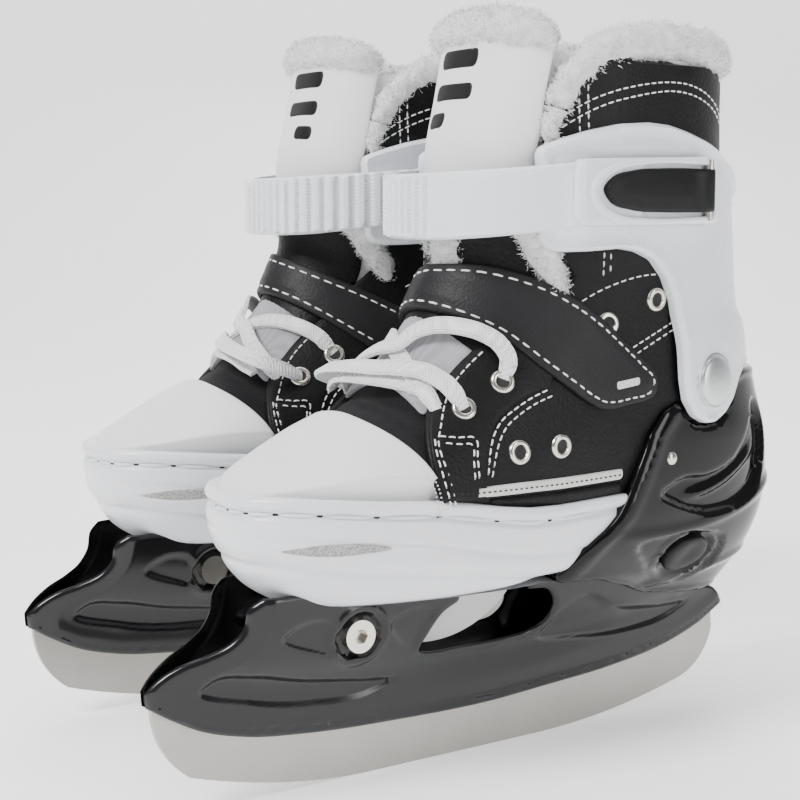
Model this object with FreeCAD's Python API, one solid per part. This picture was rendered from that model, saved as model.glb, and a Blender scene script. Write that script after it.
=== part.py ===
"""A pair of size-adjustable recreational ice skates, built as two mirrored assemblies.

Units are millimetres, +Z is up and the toes point along -Y.
One left-foot skate is modelled around its own blade plane (x = 0, outer side of the foot = +x).
It is then copied to +X as the left skate and mirrored to -X as the right skate.
"""
import FreeCAD, Part
import math
import os

os.makedirs("parts", exist_ok=True)
V = FreeCAD.Vector

# ---- pair layout ----
PAIR_SPACING = 124.0
LENGTH_CENTRE = 10.8

# ---- blade ----
BLADE_THICK = 3.0
BLADE_FLAT_FRONT = -30.0
BLADE_FLAT_REAR = 40.0

# ---- running clearances ----
SLIDE_GAP = 0.4
SEAT_GAP = 0.3

# ---- toe slide ----
TOE_TRAVEL = 20.0
SIZE_STEPS = 4
KEEL_HALF = 8.0
KEEL_TOP = 72.4
TOE_REAR_END = 62.0
TOE_WALL = 3.2

# ---- toe bolt ----
BOLT_Y = -56.7
BOLT_Z = 60.3
BOLT_SHANK = 8.0
BOLT_HEAD = 12.5
BOLT_FACE = 19.0
BOLT_SOCKET = 6.0

# ---- heel shell ----
SHELL_WALL = 3.0
HEEL_FLOOR = 77.0
WING_STEP_Z = 128.0
WING_OUTER = 43.4
WING_INNER = 40.8

# ---- size lock ----
BUTTON_Y = 90.0
BUTTON_Z = 75.0
BUTTON_LENGTH = 25.5
BUTTON_HEIGHT = 15.0
RACK_HALF = 4.0
RACK_REAR = 100.0

# ---- cuff pivot ----
PIVOT_Y = 91.3
PIVOT_Z = 149.2
PIVOT_SHANK = 8.0
PIVOT_CAP = 20.6
CUFF_WALL = 3.0
CUFF_LUG_HALF = 48.6
CUFF_TOP_HALF = 46.6

# ---- boot ----
SOLE_Z = 80.0
BOOT_WALL = 3.0
SHAFT_WALL = 4.0
THROAT_HALF = 24.0
GUSSET_SEAM = -40.0

LACE_EYELETS = ((-17.6, 143.1), (0.5, 152.0), (-4.0, 128.3), (15.4, 130.2))
CUFF_EYELETS = ((38.4, 181.0), (62.5, 183.0))

# ---- buckle ----
LEVER_PIN_Y = 81.8
LEVER_PIN_X = 51.4
LEVER_Z0 = 215.3
LEVER_Z1 = 233.7
PIN_DIAMETER = 3.0


def side_prism(points, x_min, x_max):
    """Prism across the skate from a closed (y, z) outline."""
    vectors = [V(x_min, y, z) for y, z in points]
    wire = Part.makePolygon(vectors + [vectors[0]])
    return Part.Face(wire).extrude(V(x_max - x_min, 0, 0))


def chain_prism(edges, x_min, x_max):
    """Prism across the skate from a closed chain of edges lying in x = 0."""
    wire = Part.Wire(Part.__sortEdges__(edges))
    face = Part.Face(wire)
    face.translate(V(x_min, 0, 0))
    return face.extrude(V(x_max - x_min, 0, 0))


def line(a, b):
    return Part.makeLine(V(0, a[0], a[1]), V(0, b[0], b[1]))


def arc(a, m, b):
    return Part.Arc(V(0, a[0], a[1]), V(0, m[0], m[1]), V(0, b[0], b[1])).toShape()


def spline(points):
    curve = Part.BSplineCurve()
    curve.interpolate([V(0, y, z) for y, z in points])
    return curve.toShape()


def oval(centre, along, across, half_along, half_across, power):
    """Closed superellipse wire in the plane of two unit directions."""
    steps = 28
    points = []
    for i in range(steps):
        t = 2 * math.pi * i / steps
        c = math.cos(t)
        s = math.sin(t)
        a = math.copysign(abs(c) ** (2 / power), c) * half_along
        b = math.copysign(abs(s) ** (2 / power), s) * half_across
        points.append(centre + along * a + across * b)
    curve = Part.BSplineCurve()
    curve.interpolate(Points=points, PeriodicFlag=True)
    return Part.Wire([curve.toShape()])


def level_loft(stations, grow, power):
    """Loft through plan ovals given as (z, y_front, y_rear, half_width)."""
    wires = []
    for z, front, rear, half in stations:
        centre = V(0, (front + rear) / 2, z)
        reach = (rear - front) / 2 + grow
        wires.append(oval(centre, V(0, 1, 0), V(1, 0, 0), reach, half + grow, power))
    return Part.makeLoft(wires, True, False)


def length_loft(stations, grow, power):
    """Loft through cross ovals given as (y, z_bottom, z_top, half_width)."""
    wires = []
    for y, bottom, top, half in stations:
        centre = V(0, y, (bottom + top) / 2)
        reach = (top - bottom) / 2 + grow
        wires.append(oval(centre, V(0, 0, 1), V(1, 0, 0), reach, half + grow, power))
    return Part.makeLoft(wires, True, False)


def box(x0, x1, y0, y1, z0, z1):
    return Part.makeBox(x1 - x0, y1 - y0, z1 - z0, V(x0, y0, z0))


def largest(shape):
    return max(shape.Solids, key=lambda solid: solid.Volume)


def rod_x(y, z, diameter, x0, x1):
    return Part.makeCylinder(diameter / 2, x1 - x0, V(x0, y, z), V(1, 0, 0))


def slot_x(y, z, length, height, x0, x1):
    """Oval bar across the skate, rounded at both ends of its length."""
    reach = (length - height) / 2
    bar = box(x0, x1, y - reach, y + reach, z - height / 2, z + height / 2)
    ends = [rod_x(y - reach, z, height, x0, x1), rod_x(y + reach, z, height, x0, x1)]
    return bar.multiFuse(ends).removeSplitter()


# ---- body forms shared by several pieces ----

def foot_form(grow):
    """Closed form of the lower boot, running from the toe cap to the heel."""
    stations = [
        (-64.0, 84.0, 132.0, 33.0),
        (-46.0, 80.0, 143.0, 36.5),
        (-25.0, SOLE_Z, 163.0, 38.5),
        (0.0, SOLE_Z, 186.0, 40.0),
        (40.0, SOLE_Z, 204.0, 40.0),
        (90.0, SOLE_Z, 204.0, 40.0),
        (128.0, SOLE_Z, 180.0, 34.0),
        (149.0, 86.0, 138.0, 17.0),
    ]
    return length_loft(stations, grow, 2.6)


def toe_form(grow):
    """Closed form of the rounded toe cap."""
    stations = [
        (-105.0, 92.0, 108.0, 12.0),
        (-99.0, 85.0, 119.0, 24.0),
        (-84.0, 81.0, 131.0, 36.0),
        (-62.0, SOLE_Z, 141.5, 40.5),
        (GUSSET_SEAM, SOLE_Z, 150.0, 42.5),
    ]
    return length_loft(stations, grow, 2.4)


def heel_form(grow):
    """Closed outer form of the heel shell, carried forward past its front edge."""
    stations = [
        (51.0, 40.0, 131.0, 15.0),
        (60.0, 0.0, 143.0, 22.0),
        (74.0, -60.0, 150.5, 35.0),
        (87.0, -80.0, 155.0, 43.0),
        (103.0, -80.0, 157.0, 47.0),
        (124.0, -80.0, 156.0, 47.0),
        (142.0, -80.0, 149.0, 47.0),
        (162.0, -80.0, 141.0, 47.0),
    ]
    return level_loft(stations, grow, 2.8)


def toe_shell_form(grow):
    """Closed outer form of the toe shell, carried back past its rear edge."""
    stations = [
        (KEEL_TOP, -86.0, 150.0, 31.0),
        (79.0, -99.0, 150.0, 39.0),
        (92.0, -108.0, 150.0, 45.5),
        (104.0, -112.0, 150.0, 47.5),
        (116.0, -111.0, 150.0, 46.0),
    ]
    return level_loft(stations, grow, 2.5)


def shaft_form(grow):
    """Closed form of the padded boot shaft above the ankle."""
    stations = [
        (138.0, -4.0, 127.0, 40.2),
        (164.0, -5.0, 124.0, 40.2),
        (186.0, -8.0, 121.0, 41.4),
        (218.0, -12.0, 119.5, 42.8),
        (250.0, -8.0, 117.0, 43.0),
        (292.0, 0.0, 118.0, 43.8),
    ]
    return level_loft(stations, grow, 2.4)


def below_ankle_cut(drop):
    """Half space under the ankle split, hinged at the cuff pivot."""
    front_rise = math.tan(math.radians(19.0))
    rear_fall = math.tan(math.radians(11.0))
    z0 = PIVOT_Z - drop
    points = [
        (-140.0, z0 + (PIVOT_Y + 140.0) * front_rise),
        (PIVOT_Y, z0),
        (180.0, z0 - (180.0 - PIVOT_Y) * rear_fall),
        (180.0, 0.0),
        (-140.0, 0.0),
    ]
    return side_prism(points, -80, 80)


def above_ankle_cut():
    """Half space over the ankle split, hinged at the cuff pivot."""
    front_rise = math.tan(math.radians(26.0))
    rear_fall = math.tan(math.radians(6.0))
    points = [
        (-140.0, PIVOT_Z + (PIVOT_Y + 140.0) * front_rise),
        (PIVOT_Y, PIVOT_Z),
        (180.0, PIVOT_Z - (180.0 - PIVOT_Y) * rear_fall),
        (180.0, 400.0),
        (-140.0, 400.0),
    ]
    return side_prism(points, -80, 80)


# ---- blade and holder ----

def make_blade():
    top = [(-127.0, 45.5), (-98.0, 33.5), (-40.0, 28.5), (40.0, 28.5), (104.0, 37.0), (130.0, 45.0)]
    edges = [
        arc((-133.0, 41.5), (-129.6, 26.5), (-118.6, 13.2)),
        arc((-118.6, 13.2), (-76.0, 2.8), (BLADE_FLAT_FRONT, 0.0)),
        line((BLADE_FLAT_FRONT, 0.0), (BLADE_FLAT_REAR, 0.0)),
        arc((BLADE_FLAT_REAR, 0.0), (80.0, 2.9), (117.0, 10.2)),
        arc((117.0, 10.2), (130.5, 17.6), (137.6, 31.0)),
        line((137.6, 31.0), (136.5, 41.5)),
        line((136.5, 41.5), top[-1]),
        spline(top),
        line(top[0], (-133.0, 41.5)),
    ]
    blade = chain_prism(edges, -BLADE_THICK / 2, BLADE_THICK / 2)
    for y in (-90.0, 0.0, 90.0):
        blade = blade.cut(rod_x(y, blade_screw_z(y), 4.2, -5, 5))
    return blade


def blade_screw_z(y):
    """Height of a blade screw, following the curved foot of the holder."""
    return 25.5 + 0.00065 * y * y


def holder_outline():
    foot = [(-135.4, 42.4), (-114.9, 30.8), (-72.0, 22.0), (11.0, 19.4), (74.0, 23.6),
            (125.5, 35.4), (139.2, 43.0)]
    nose = [(-100.6, 72.0), (-106.1, 64.4), (-123.2, 57.1), (-135.4, 48.4)]
    window = [(21.0, 67.3), (31.6, 65.4), (34.7, 57.4), (29.0, 50.7), (16.0, 48.3)]
    return [
        spline(foot),
        line(foot[-1], (132.0, 51.6)),
        line((132.0, 51.6), (78.4, 59.0)),
        line((78.4, 59.0), (43.0, 72.0)),
        line((43.0, 72.0), (21.0, 72.0)),
        line((21.0, 72.0), window[0]),
        spline(window),
        line(window[-1], (-26.5, 48.2)),
        arc((-26.5, 48.2), (-24.0, 60.0), (-12.3, 67.7)),
        line((-12.3, 67.7), (-12.3, 72.0)),
        line((-12.3, 72.0), nose[0]),
        spline(nose),
        line(nose[-1], foot[0]),
    ]


def holder_width_prism():
    half = [(6.0, 15.0), (7.0, 40.0), (10.5, 50.0), (16.5, 60.0), (19.5, 66.0), (20.5, 74.0)]
    curve = Part.BSplineCurve()
    curve.interpolate([V(x, -140, z) for x, z in half])
    mirrored = Part.BSplineCurve()
    mirrored.interpolate([V(-x, -140, z) for x, z in half])
    low = Part.makeLine(V(-6.0, -140, 15.0), V(6.0, -140, 15.0))
    high = Part.makeLine(V(-20.5, -140, 74.0), V(20.5, -140, 74.0))
    wire = Part.Wire(Part.__sortEdges__([low, curve.toShape(), high, mirrored.toShape()]))
    return Part.Face(wire).extrude(V(0, 290, 0))


def holder_plan_prism():
    half = [(3.0, -135.6), (7.5, -118.0), (15.0, -104.0), (21.0, -88.0)]
    curve = Part.BSplineCurve()
    curve.interpolate([V(x, y, 0) for x, y in half])
    mirrored = Part.BSplineCurve()
    mirrored.interpolate([V(-x, y, 0) for x, y in half])
    nose = Part.makeLine(V(-3.0, -135.6, 0), V(3.0, -135.6, 0))
    sides = [
        Part.makeLine(V(21, -88, 0), V(21, 120, 0)),
        Part.makeLine(V(21, 120, 0), V(10, 145, 0)),
        Part.makeLine(V(10, 145, 0), V(-10, 145, 0)),
        Part.makeLine(V(-10, 145, 0), V(-21, 120, 0)),
        Part.makeLine(V(-21, 120, 0), V(-21, -88, 0)),
    ]
    edges = [nose, curve.toShape(), mirrored.toShape()] + sides
    wire = Part.Wire(Part.__sortEdges__(edges))
    return Part.Face(wire).extrude(V(0, 0, 90))


def make_blade_holder():
    body = chain_prism(holder_outline(), -22, 22)
    body = body.common(holder_width_prism()).common(holder_plan_prism())
    keel_pocket = box(-KEEL_HALF - SLIDE_GAP, KEEL_HALF + SLIDE_GAP, -97.0, -8.0, 49.6, 80.0)
    blade_slot = chain_prism([
        line((-140.0, 46.0), (-127.0, 46.0)),
        line((-127.0, 46.0), (-98.0, 34.0)),
        line((-98.0, 34.0), (-40.0, 29.0)),
        line((-40.0, 29.0), (40.0, 29.0)),
        line((40.0, 29.0), (104.0, 37.8)),
        line((104.0, 37.8), (130.0, 45.5)),
        line((130.0, 45.5), (145.0, 45.5)),
        line((145.0, 45.5), (145.0, 0.0)),
        line((145.0, 0.0), (-140.0, 0.0)),
        line((-140.0, 0.0), (-140.0, 46.0)),
    ], -BLADE_THICK / 2 - 0.05, BLADE_THICK / 2 + 0.05)
    body = body.cut(keel_pocket).cut(blade_slot)
    body = body.cut(rod_x(BOLT_Y, BOLT_Z, BOLT_SHANK, -40, 40))
    for side in (-1, 1):
        x0, x1 = sorted((side * (BOLT_FACE - 4.0), side * 40.0))
        body = body.cut(rod_x(BOLT_Y, BOLT_Z, BOLT_HEAD + 0.6, x0, x1))
        x0, x1 = sorted((side * (BOLT_FACE - 1.5), side * 40.0))
        body = body.cut(rod_x(BOLT_Y, BOLT_Z, BOLT_HEAD + 7.0, x0, x1))
    for y in (-90.0, 0.0, 90.0):
        body = body.cut(rod_x(y, blade_screw_z(y), 4.2, -12, 12))
    return body


def make_blade_screws():
    screws = []
    for y in (-90.0, 0.0, 90.0):
        screws.append(rod_x(y, blade_screw_z(y), 4.0, -5.4, 5.4))
    return Part.makeCompound(screws)


def make_toe_bolt():
    shank = rod_x(BOLT_Y, BOLT_Z, BOLT_SHANK - 0.1, -BOLT_FACE + 4.0, BOLT_FACE - 4.0)
    heads = [
        rod_x(BOLT_Y, BOLT_Z, BOLT_HEAD, BOLT_FACE - 4.0, BOLT_FACE),
        rod_x(BOLT_Y, BOLT_Z, BOLT_HEAD, -BOLT_FACE, -BOLT_FACE + 4.0),
    ]
    bolt = shank.multiFuse(heads)
    socket = Part.makePolygon([
        V(BOLT_FACE - 3.0, BOLT_Y + BOLT_SOCKET / 2 * math.cos(math.radians(60 * i)),
          BOLT_Z + BOLT_SOCKET / 2 * math.sin(math.radians(60 * i)))
        for i in range(7)
    ])
    return bolt.cut(Part.Face(socket).extrude(V(6, 0, 0)))


# ---- toe slider ----

def make_toe_shell():
    shell = toe_shell_form(0.0)
    rim = side_prism([
        (-140.0, 111.8), (-108.0, 112.2), (-88.0, 114.4), (-62.7, 112.6), (-40.0, 112.0),
        (-14.0, 109.0), (14.0, 106.4), (TOE_REAR_END, 106.4), (TOE_REAR_END, 60.0), (-140.0, 60.0),
    ], -70, 70)
    shell = shell.common(rim)
    tail = box(-70, 70, 8.0, 100.0, 40.0, 140.0)
    shell = shell.cut(tail.cut(heel_form(-SHELL_WALL - SLIDE_GAP)))
    shell = shell.cut(box(-70, 70, 21.5, 100.0, 60.0, HEEL_FLOOR + SLIDE_GAP))
    shell = shell.cut(foot_form(SLIDE_GAP))
    shell = shell.cut(toe_form(0.1))
    inside = toe_shell_form(-TOE_WALL)
    hollow = box(-70, 70, -60.0, 100.0, SOLE_Z, 140.0)
    return largest(shell.cut(inside.common(hollow)))


def make_toe_keel():
    keel = chain_prism([
        line((-76.0, KEEL_TOP), (-76.0, 58.0)),
        line((-76.0, 58.0), (-62.0, 50.4)),
        line((-62.0, 50.4), (-22.0, 50.2)),
        arc((-22.0, 50.2), (3.0, 54.5), (20.8, 68.0)),
        line((20.8, 68.0), (20.8, KEEL_TOP)),
        line((20.8, KEEL_TOP), (-76.0, KEEL_TOP)),
    ], -KEEL_HALF, KEEL_HALF)
    middle = BOLT_Y + TOE_TRAVEL / 2
    height = BOLT_SHANK + 2 * SLIDE_GAP
    return keel.cut(slot_x(middle, BOLT_Z, TOE_TRAVEL + height, height, -20, 20))


def make_size_rack():
    rack = box(-RACK_HALF, RACK_HALF, 21.5, RACK_REAR, 72.8, HEEL_FLOOR + SLIDE_GAP)
    pitch = TOE_TRAVEL / (SIZE_STEPS - 1)
    for i in range(SIZE_STEPS):
        y = BUTTON_Y - 1.2 - i * pitch
        rack = rack.cut(box(-RACK_HALF - 1, -RACK_HALF + 1.6, y, y + 3.0, 60, 90))
    return rack


def make_toe_cap():
    cap = toe_form(0.0)
    cap = cap.cut(toe_form(-3.0).common(box(-60, 60, -200, -45, 0, 300)))
    cap = cap.cut(foot_form(SLIDE_GAP))
    return cap.cut(box(-60, 60, GUSSET_SEAM - 4.0, 60, 0, 300).common(toe_form(-3.5)))


# ---- heel shell and size lock ----

def make_heel_shell():
    edge = side_prism([
        (22.8, 72.4), (24.0, 78.0), (30.3, 87.4), (42.5, 98.3), (52.2, 116.9), (59.4, 132.0),
        (76.0, 146.0), (81.0, 155.0), (91.3, 158.5), (98.0, 156.0), (101.0, 150.5), (108.0, 149.5),
        (160.0, 149.0), (160.0, 40.0), (133.0, 51.7), (78.4, 59.3), (43.0, 72.4),
    ], -70, 70)
    shell = heel_form(0.0).common(edge)
    room = box(-70, 70, -100, 200, HEEL_FLOOR, WING_STEP_Z - 4.0)
    room = room.fuse(box(-WING_INNER, WING_INNER, -100, 200, WING_STEP_Z - 4.0, 200))
    cavity = heel_form(-SHELL_WALL).common(room)
    shell = shell.cut(cavity)
    step = box(-70, 70, 0, 200, WING_STEP_Z, 200)
    relief = step.cut(box(-WING_OUTER, WING_OUTER, 0, 200, 0, 300))
    shell = shell.cut(relief.common(box(-70, 70, 0, 122, 0, 300)))
    for x0, x1 in ((-60, -30), (30, 60)):
        shell = shell.cut(rod_x(PIVOT_Y, PIVOT_Z, PIVOT_SHANK, x0, x1))
    shell = shell.cut(box(-RACK_HALF - 0.5, RACK_HALF + 0.5, 0, 125, 72.4, 90))
    shell = shell.cut(slot_x(BUTTON_Y, BUTTON_Z, BUTTON_LENGTH + 0.8, BUTTON_HEIGHT + 0.8, 26, 60))
    shell = shell.cut(box(-22, 30, BUTTON_Y - 4.5, BUTTON_Y + 4.5, 67.0, 72.9))
    shell = shell.cut(box(-22, -3, BUTTON_Y - 4.5, BUTTON_Y + 4.5, 67.0, 76.9))
    return shell.cut(rod_x(69.4, 119.8, 4.0, -60, 60))


def make_lock_button():
    cap = slot_x(BUTTON_Y, BUTTON_Z, BUTTON_LENGTH, BUTTON_HEIGHT, 31.0, 60.0)
    cap = cap.common(heel_form(1.2))
    plunger = box(-8.6, 31.5, BUTTON_Y - 4.0, BUTTON_Y + 4.0, 67.8, 72.3)
    pawl = box(-8.6, -RACK_HALF - 0.4, BUTTON_Y - 1.0, BUTTON_Y + 1.0, 72.3, 76.4)
    return cap.multiFuse([plunger, pawl]).removeSplitter()


def make_button_spring():
    helix = Part.makeHelix(1.6, 8.0, 1.9)
    profile = Part.Wire([Part.makeCircle(0.35, V(1.9, 0, 0), V(0, 1, 0))])
    coil = Part.Wire(helix.Edges).makePipeShell([profile], True, True)
    coil.rotate(V(0, 0, 0), V(0, 1, 0), 90)
    coil.translate(V(-21.0, BUTTON_Y, 70.2))
    return coil


# ---- cuff, pivot and buckle ----

def cuff_drum(offset):
    """Solid whose skin is the outside of the cuff, grown by an offset."""
    stations = [
        (130.0, -30.0, 130.0, CUFF_LUG_HALF),
        (164.0, -30.0, 128.0, CUFF_LUG_HALF),
        (186.0, -26.0, 125.0, CUFF_TOP_HALF),
        (220.0, -26.0, 123.6, CUFF_TOP_HALF),
        (252.0, -26.0, 121.0, CUFF_TOP_HALF),
    ]
    return level_loft(stations, offset, 4.0)


def make_cuff():
    ring = cuff_drum(0.0).cut(cuff_drum(-CUFF_WALL))
    outline = side_prism([
        (12.5, 239.0), (18.6, 241.0), (42.4, 247.6), (62.3, 247.8), (97.9, 240.5), (119.0, 226.0),
        (140.0, 218.0), (140.0, 156.5), (124.0, 155.5), (103.0, 153.5), (99.0, 148.0), (97.5, 139.0),
        (91.4, 133.2), (83.0, 135.0), (76.5, 141.0), (73.8, 150.5), (72.1, 170.3), (68.5, 186.0),
        (60.3, 197.0), (45.2, 202.0), (16.7, 203.6),
    ], -60, 60)
    cuff = ring.common(outline)
    cuff = cuff.cut(rod_x(PIVOT_Y, PIVOT_Z, PIVOT_SHANK + 0.6, -60, 60))
    return cuff.cut(rod_x(27.0, 224.5, 4.1, 40, 60)).cut(rod_x(50.0, 225.0, 4.1, -60, -40))


def headed_pin(y, z, shank, head, near, seat, far):
    """Pin along X with a round head; the sign of the x values gives the side."""
    body = rod_x(y, z, shank, min(near, seat), max(near, seat))
    cap = rod_x(y, z, head, min(seat, far), max(seat, far))
    return body.fuse(cap).removeSplitter()


def make_shell_rivets():
    """Big cuff pivots and the small rivets in front of them, on both sides."""
    pins = []
    seat = CUFF_LUG_HALF + 1.3
    for side in (-1, 1):
        pins.append(headed_pin(
            PIVOT_Y, PIVOT_Z, PIVOT_SHANK, PIVOT_CAP, side * WING_INNER, side * seat, side * (seat + 1.8)))
        pins.append(headed_pin(69.4, 119.8, 3.8, 5.6, side * 44.2, side * 47.0, side * 48.2))
    return Part.makeCompound(pins)


def strap_band(near, far, z0, z1):
    """Band round the front of the boot between two offsets of one plan oval."""
    centre = V(0, 50.0, z0)
    lift = V(0, 0, z1 - z0)
    outer = Part.Face(oval(centre, V(0, 1, 0), V(1, 0, 0), 74.0 + far, 47.2 + far, 2.6)).extrude(lift)
    inner = Part.Face(oval(centre, V(0, 1, 0), V(1, 0, 0), 74.0 + near, 47.2 + near, 2.6)).extrude(lift)
    return outer.cut(inner)


def make_ladder_strap():
    band = strap_band(1.2, 3.8, 211.0, 235.0)
    ribs = strap_band(3.6, 4.8, 211.5, 234.5)
    teeth = []
    for i in range(12):
        y = -27.0 + i * 5.0
        teeth.append(ribs.common(box(-70, -2, y, y + 2.6, 200, 250)))
    teeth.append(ribs.common(box(-1.5, 1.5, -40, 0, 200, 250)))
    for i in range(6):
        y = -27.0 + i * 5.0
        teeth.append(ribs.common(box(2, 70, y, y + 2.6, 200, 250)))
    keep = box(-70, 0, -60, 62.0, 190, 250).fuse(box(0, 70, -60, 21.4, 190, 250))
    strap = band.common(keep).multiFuse([t.common(keep) for t in teeth])
    strap.rotate(V(0, 30, 223), V(1, 0, 0), 6.0)
    over_cuff = cuff_drum(0.3).common(box(-70, 70, 8.0, 140.0, 190, 260))
    return largest(strap.cut(over_cuff).cut(rod_x(50.0, 225.0, 4.1, -60, -40)))


def make_buckle_frame():
    block = box(47.7, 53.4, 22.6, 88.0, 212.6, 236.4)
    corners = [e for e in block.Edges if e.BoundBox.YMin > 87.9 and e.BoundBox.XLength > 1.0]
    block = block.makeFillet(5.0, corners)
    bay = box(48.8, 60.0, 0.0, 85.4, LEVER_Z0 - 0.5, LEVER_Z1 + 0.5)
    frame = block.cut(bay)
    frame = frame.cut(rod_x(27.0, 224.5, 4.1, 40, 60))
    return frame.cut(lever_rod(PIN_DIAMETER, 205.0, 245.0))


def lever_rod(diameter, z0, z1):
    """Upright rod on the hinge line of the lever."""
    return Part.makeCylinder(diameter / 2, z1 - z0, V(LEVER_PIN_X, LEVER_PIN_Y, z0))


def make_buckle_lever():
    outline = side_prism([
        (LEVER_PIN_Y, LEVER_Z0), (LEVER_PIN_Y, LEVER_Z1), (42.0, LEVER_Z1), (35.0, 230.5),
        (31.5, 224.5), (35.0, 218.5), (42.0, LEVER_Z0),
    ], 50.0, 53.0)
    lever = outline.fuse(lever_rod(4.8, LEVER_Z0, LEVER_Z1))
    return lever.cut(lever_rod(PIN_DIAMETER + 0.2, 200.0, 250.0))


def make_lever_pin():
    return lever_rod(PIN_DIAMETER - 0.04, 212.8, 236.2)


def make_cuff_studs():
    """Two strap rivets and the four eyelets of the boot shaft."""
    studs = eyelet_pairs(shaft_form(0.0), CUFF_EYELETS)
    outer = rod_x(27.0, 224.5, 4.0, 44.0, 48.8).fuse(rod_x(27.0, 224.5, 6.4, 48.8, 50.2))
    inner = rod_x(50.0, 225.0, 4.0, -52.0, -43.8).fuse(rod_x(50.0, 225.0, 8.0, -53.2, -52.0))
    return Part.makeCompound(studs + [outer, inner])


# ---- soft boot ----

def make_upper():
    shell = foot_form(0.0).cut(foot_form(-BOOT_WALL))
    shell = shell.common(below_ankle_cut(0.6))
    shell = shell.cut(box(-80, 80, -100, GUSSET_SEAM + 2.0, 0, 400))
    throat = box(-THROAT_HALF, THROAT_HALF, -26.0, 70.0, 125.0, 400)
    shell = shell.cut(throat)
    seat = heel_form(-SHELL_WALL - SEAT_GAP)
    seat = seat.common(box(-WING_INNER + SEAT_GAP, WING_INNER - SEAT_GAP, 20, 200, 0, 300))
    shell = shell.cut(box(-70, 70, 20.0, 200, 60, 160).cut(seat))
    for y, z in LACE_EYELETS:
        shell = shell.cut(rod_x(y, z, 5.0, -70, 70))
    return shell


def make_upper_outer():
    return largest(make_upper().common(box(0, 80, -200, 200, 0, 400)))


def make_upper_inner():
    return largest(make_upper().common(box(-80, 0, -200, 200, 0, 400)))


def make_gusset():
    fold = foot_form(0.0).cut(foot_form(-2.0))
    return fold.common(box(-80, 80, -63.5, GUSSET_SEAM + 1.7, 0, 400))


def make_piping():
    band = foot_form(2.2).cut(foot_form(0.1))
    return band.common(box(-80, 80, GUSSET_SEAM + 3.0, 38.0, 115.4, 118.6))


def eyelet_ring(form, y, z):
    """One flanged eyelet seated on the outer side of a boot form."""
    ray = Part.makeLine(V(0, y, z), V(70, y, z)).common(form)
    x = ray.Vertexes[-1].Point.x
    ring = rod_x(y, z, 4.8, x - 2.5, x + 1.6).fuse(rod_x(y, z, 9.6, x + 0.3, x + 1.6))
    ring = ring.cut(rod_x(y, z, 3.6, x - 10, x + 10))
    flange_fit = form.cut(rod_x(y, z, 4.9, -70, 70))
    return largest(ring.cut(flange_fit))


def eyelet_pairs(form, places):
    rings = []
    for y, z in places:
        ring = eyelet_ring(form, y, z)
        rings.append(ring)
        rings.append(ring.mirror(V(0, 0, 0), V(1, 0, 0)))
    return rings


def make_eyelets():
    return Part.makeCompound(eyelet_pairs(foot_form(0.0), LACE_EYELETS))


def make_laces():
    skin = foot_form(4.0).cut(foot_form(2.0)).common(below_ankle_cut(0.6))
    skin = skin.common(box(-30, 30, -28, 20, 120, 400))
    strips = []
    for y, angle in ((-16.0, 24.0), (-4.0, -24.0)):
        strip = box(-40, 40, y - 3.5, y + 3.5, 100, 300)
        strip.rotate(V(0, y, 0), V(0, 0, 1), angle)
        strips.append(strip)
    weave = strips[0].multiFuse(strips[1:])
    return skin.common(weave)


def make_instep_strap():
    skin = foot_form(7.6).cut(foot_form(4.6))
    band = side_prism([
        (56.4, 157.4), (54.0, 149.0), (44.0, 141.5), (33.2, 141.5), (6.0, 162.0), (-27.5, 172.0),
        (-27.5, 186.0), (-9.0, 193.0), (14.9, 177.0), (42.5, 168.0),
    ], -70, 70)
    return skin.common(band)


def make_tongue_lower():
    plate = foot_form(-BOOT_WALL - 0.3).cut(foot_form(-BOOT_WALL - 3.8))
    plate = plate.common(below_ankle_cut(0.6))
    return plate.common(box(-THROAT_HALF - 5, THROAT_HALF + 5, -44.0, 32.0, 125.0, 400))


def make_insole():
    sole = foot_form(-BOOT_WALL - 0.2)
    return sole.common(box(-60, 60, -60.0, 140.0, 70.0, SOLE_Z + BOOT_WALL + 3.4))


def make_boot_shaft():
    wall = shaft_form(0.0).cut(shaft_form(-SHAFT_WALL))
    outline = side_prism([
        (14.0, 242.0), (17.6, 257.3), (32.4, 266.9), (50.0, 275.6), (77.2, 278.5), (98.2, 276.4),
        (112.0, 267.0), (130.0, 262.0), (130.0, 100.0), (91.0, 100.0), (26.0, 186.0), (14.0, 200.0),
    ], -60, 60)
    shaft = wall.common(outline).common(above_ankle_cut())
    for y, z in CUFF_EYELETS:
        shaft = shaft.cut(rod_x(y, z, 5.0, -70, 70))
    return shaft


def make_fur_lining():
    wall = shaft_form(-SHAFT_WALL - 0.2).cut(shaft_form(-SHAFT_WALL - 4.4))
    lip = shaft_form(2.0).cut(shaft_form(-SHAFT_WALL - 4.4))
    crown = side_prism([
        (10.0, 243.0), (14.0, 259.0), (32.0, 268.2), (50.0, 277.0), (77.0, 279.8), (98.0, 277.7),
        (112.0, 268.4), (130.0, 263.4), (130.0, 281.0), (104.6, 288.0), (72.4, 287.0), (32.3, 281.5),
        (10.0, 270.0),
    ], -60, 60)
    lining = side_prism([
        (8.0, 205.0), (8.0, 262.0), (32.4, 266.5), (50.0, 275.0), (77.2, 278.0), (98.2, 276.0),
        (112.0, 266.5), (130.0, 261.5), (130.0, 165.0), (80.0, 165.0), (30.0, 188.0),
    ], -60, 60)
    lining = wall.common(lining).common(above_ankle_cut())
    crown = lip.common(crown)
    fur = lining.fuse(crown)
    fur = fur.cut(shaft_form(0.4).cut(shaft_form(-SHAFT_WALL - 0.2)).common(make_shaft_keepout()))
    return fur.cut(box(-THROAT_HALF - 4, THROAT_HALF + 4, -60, 30, 0, 400))


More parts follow.
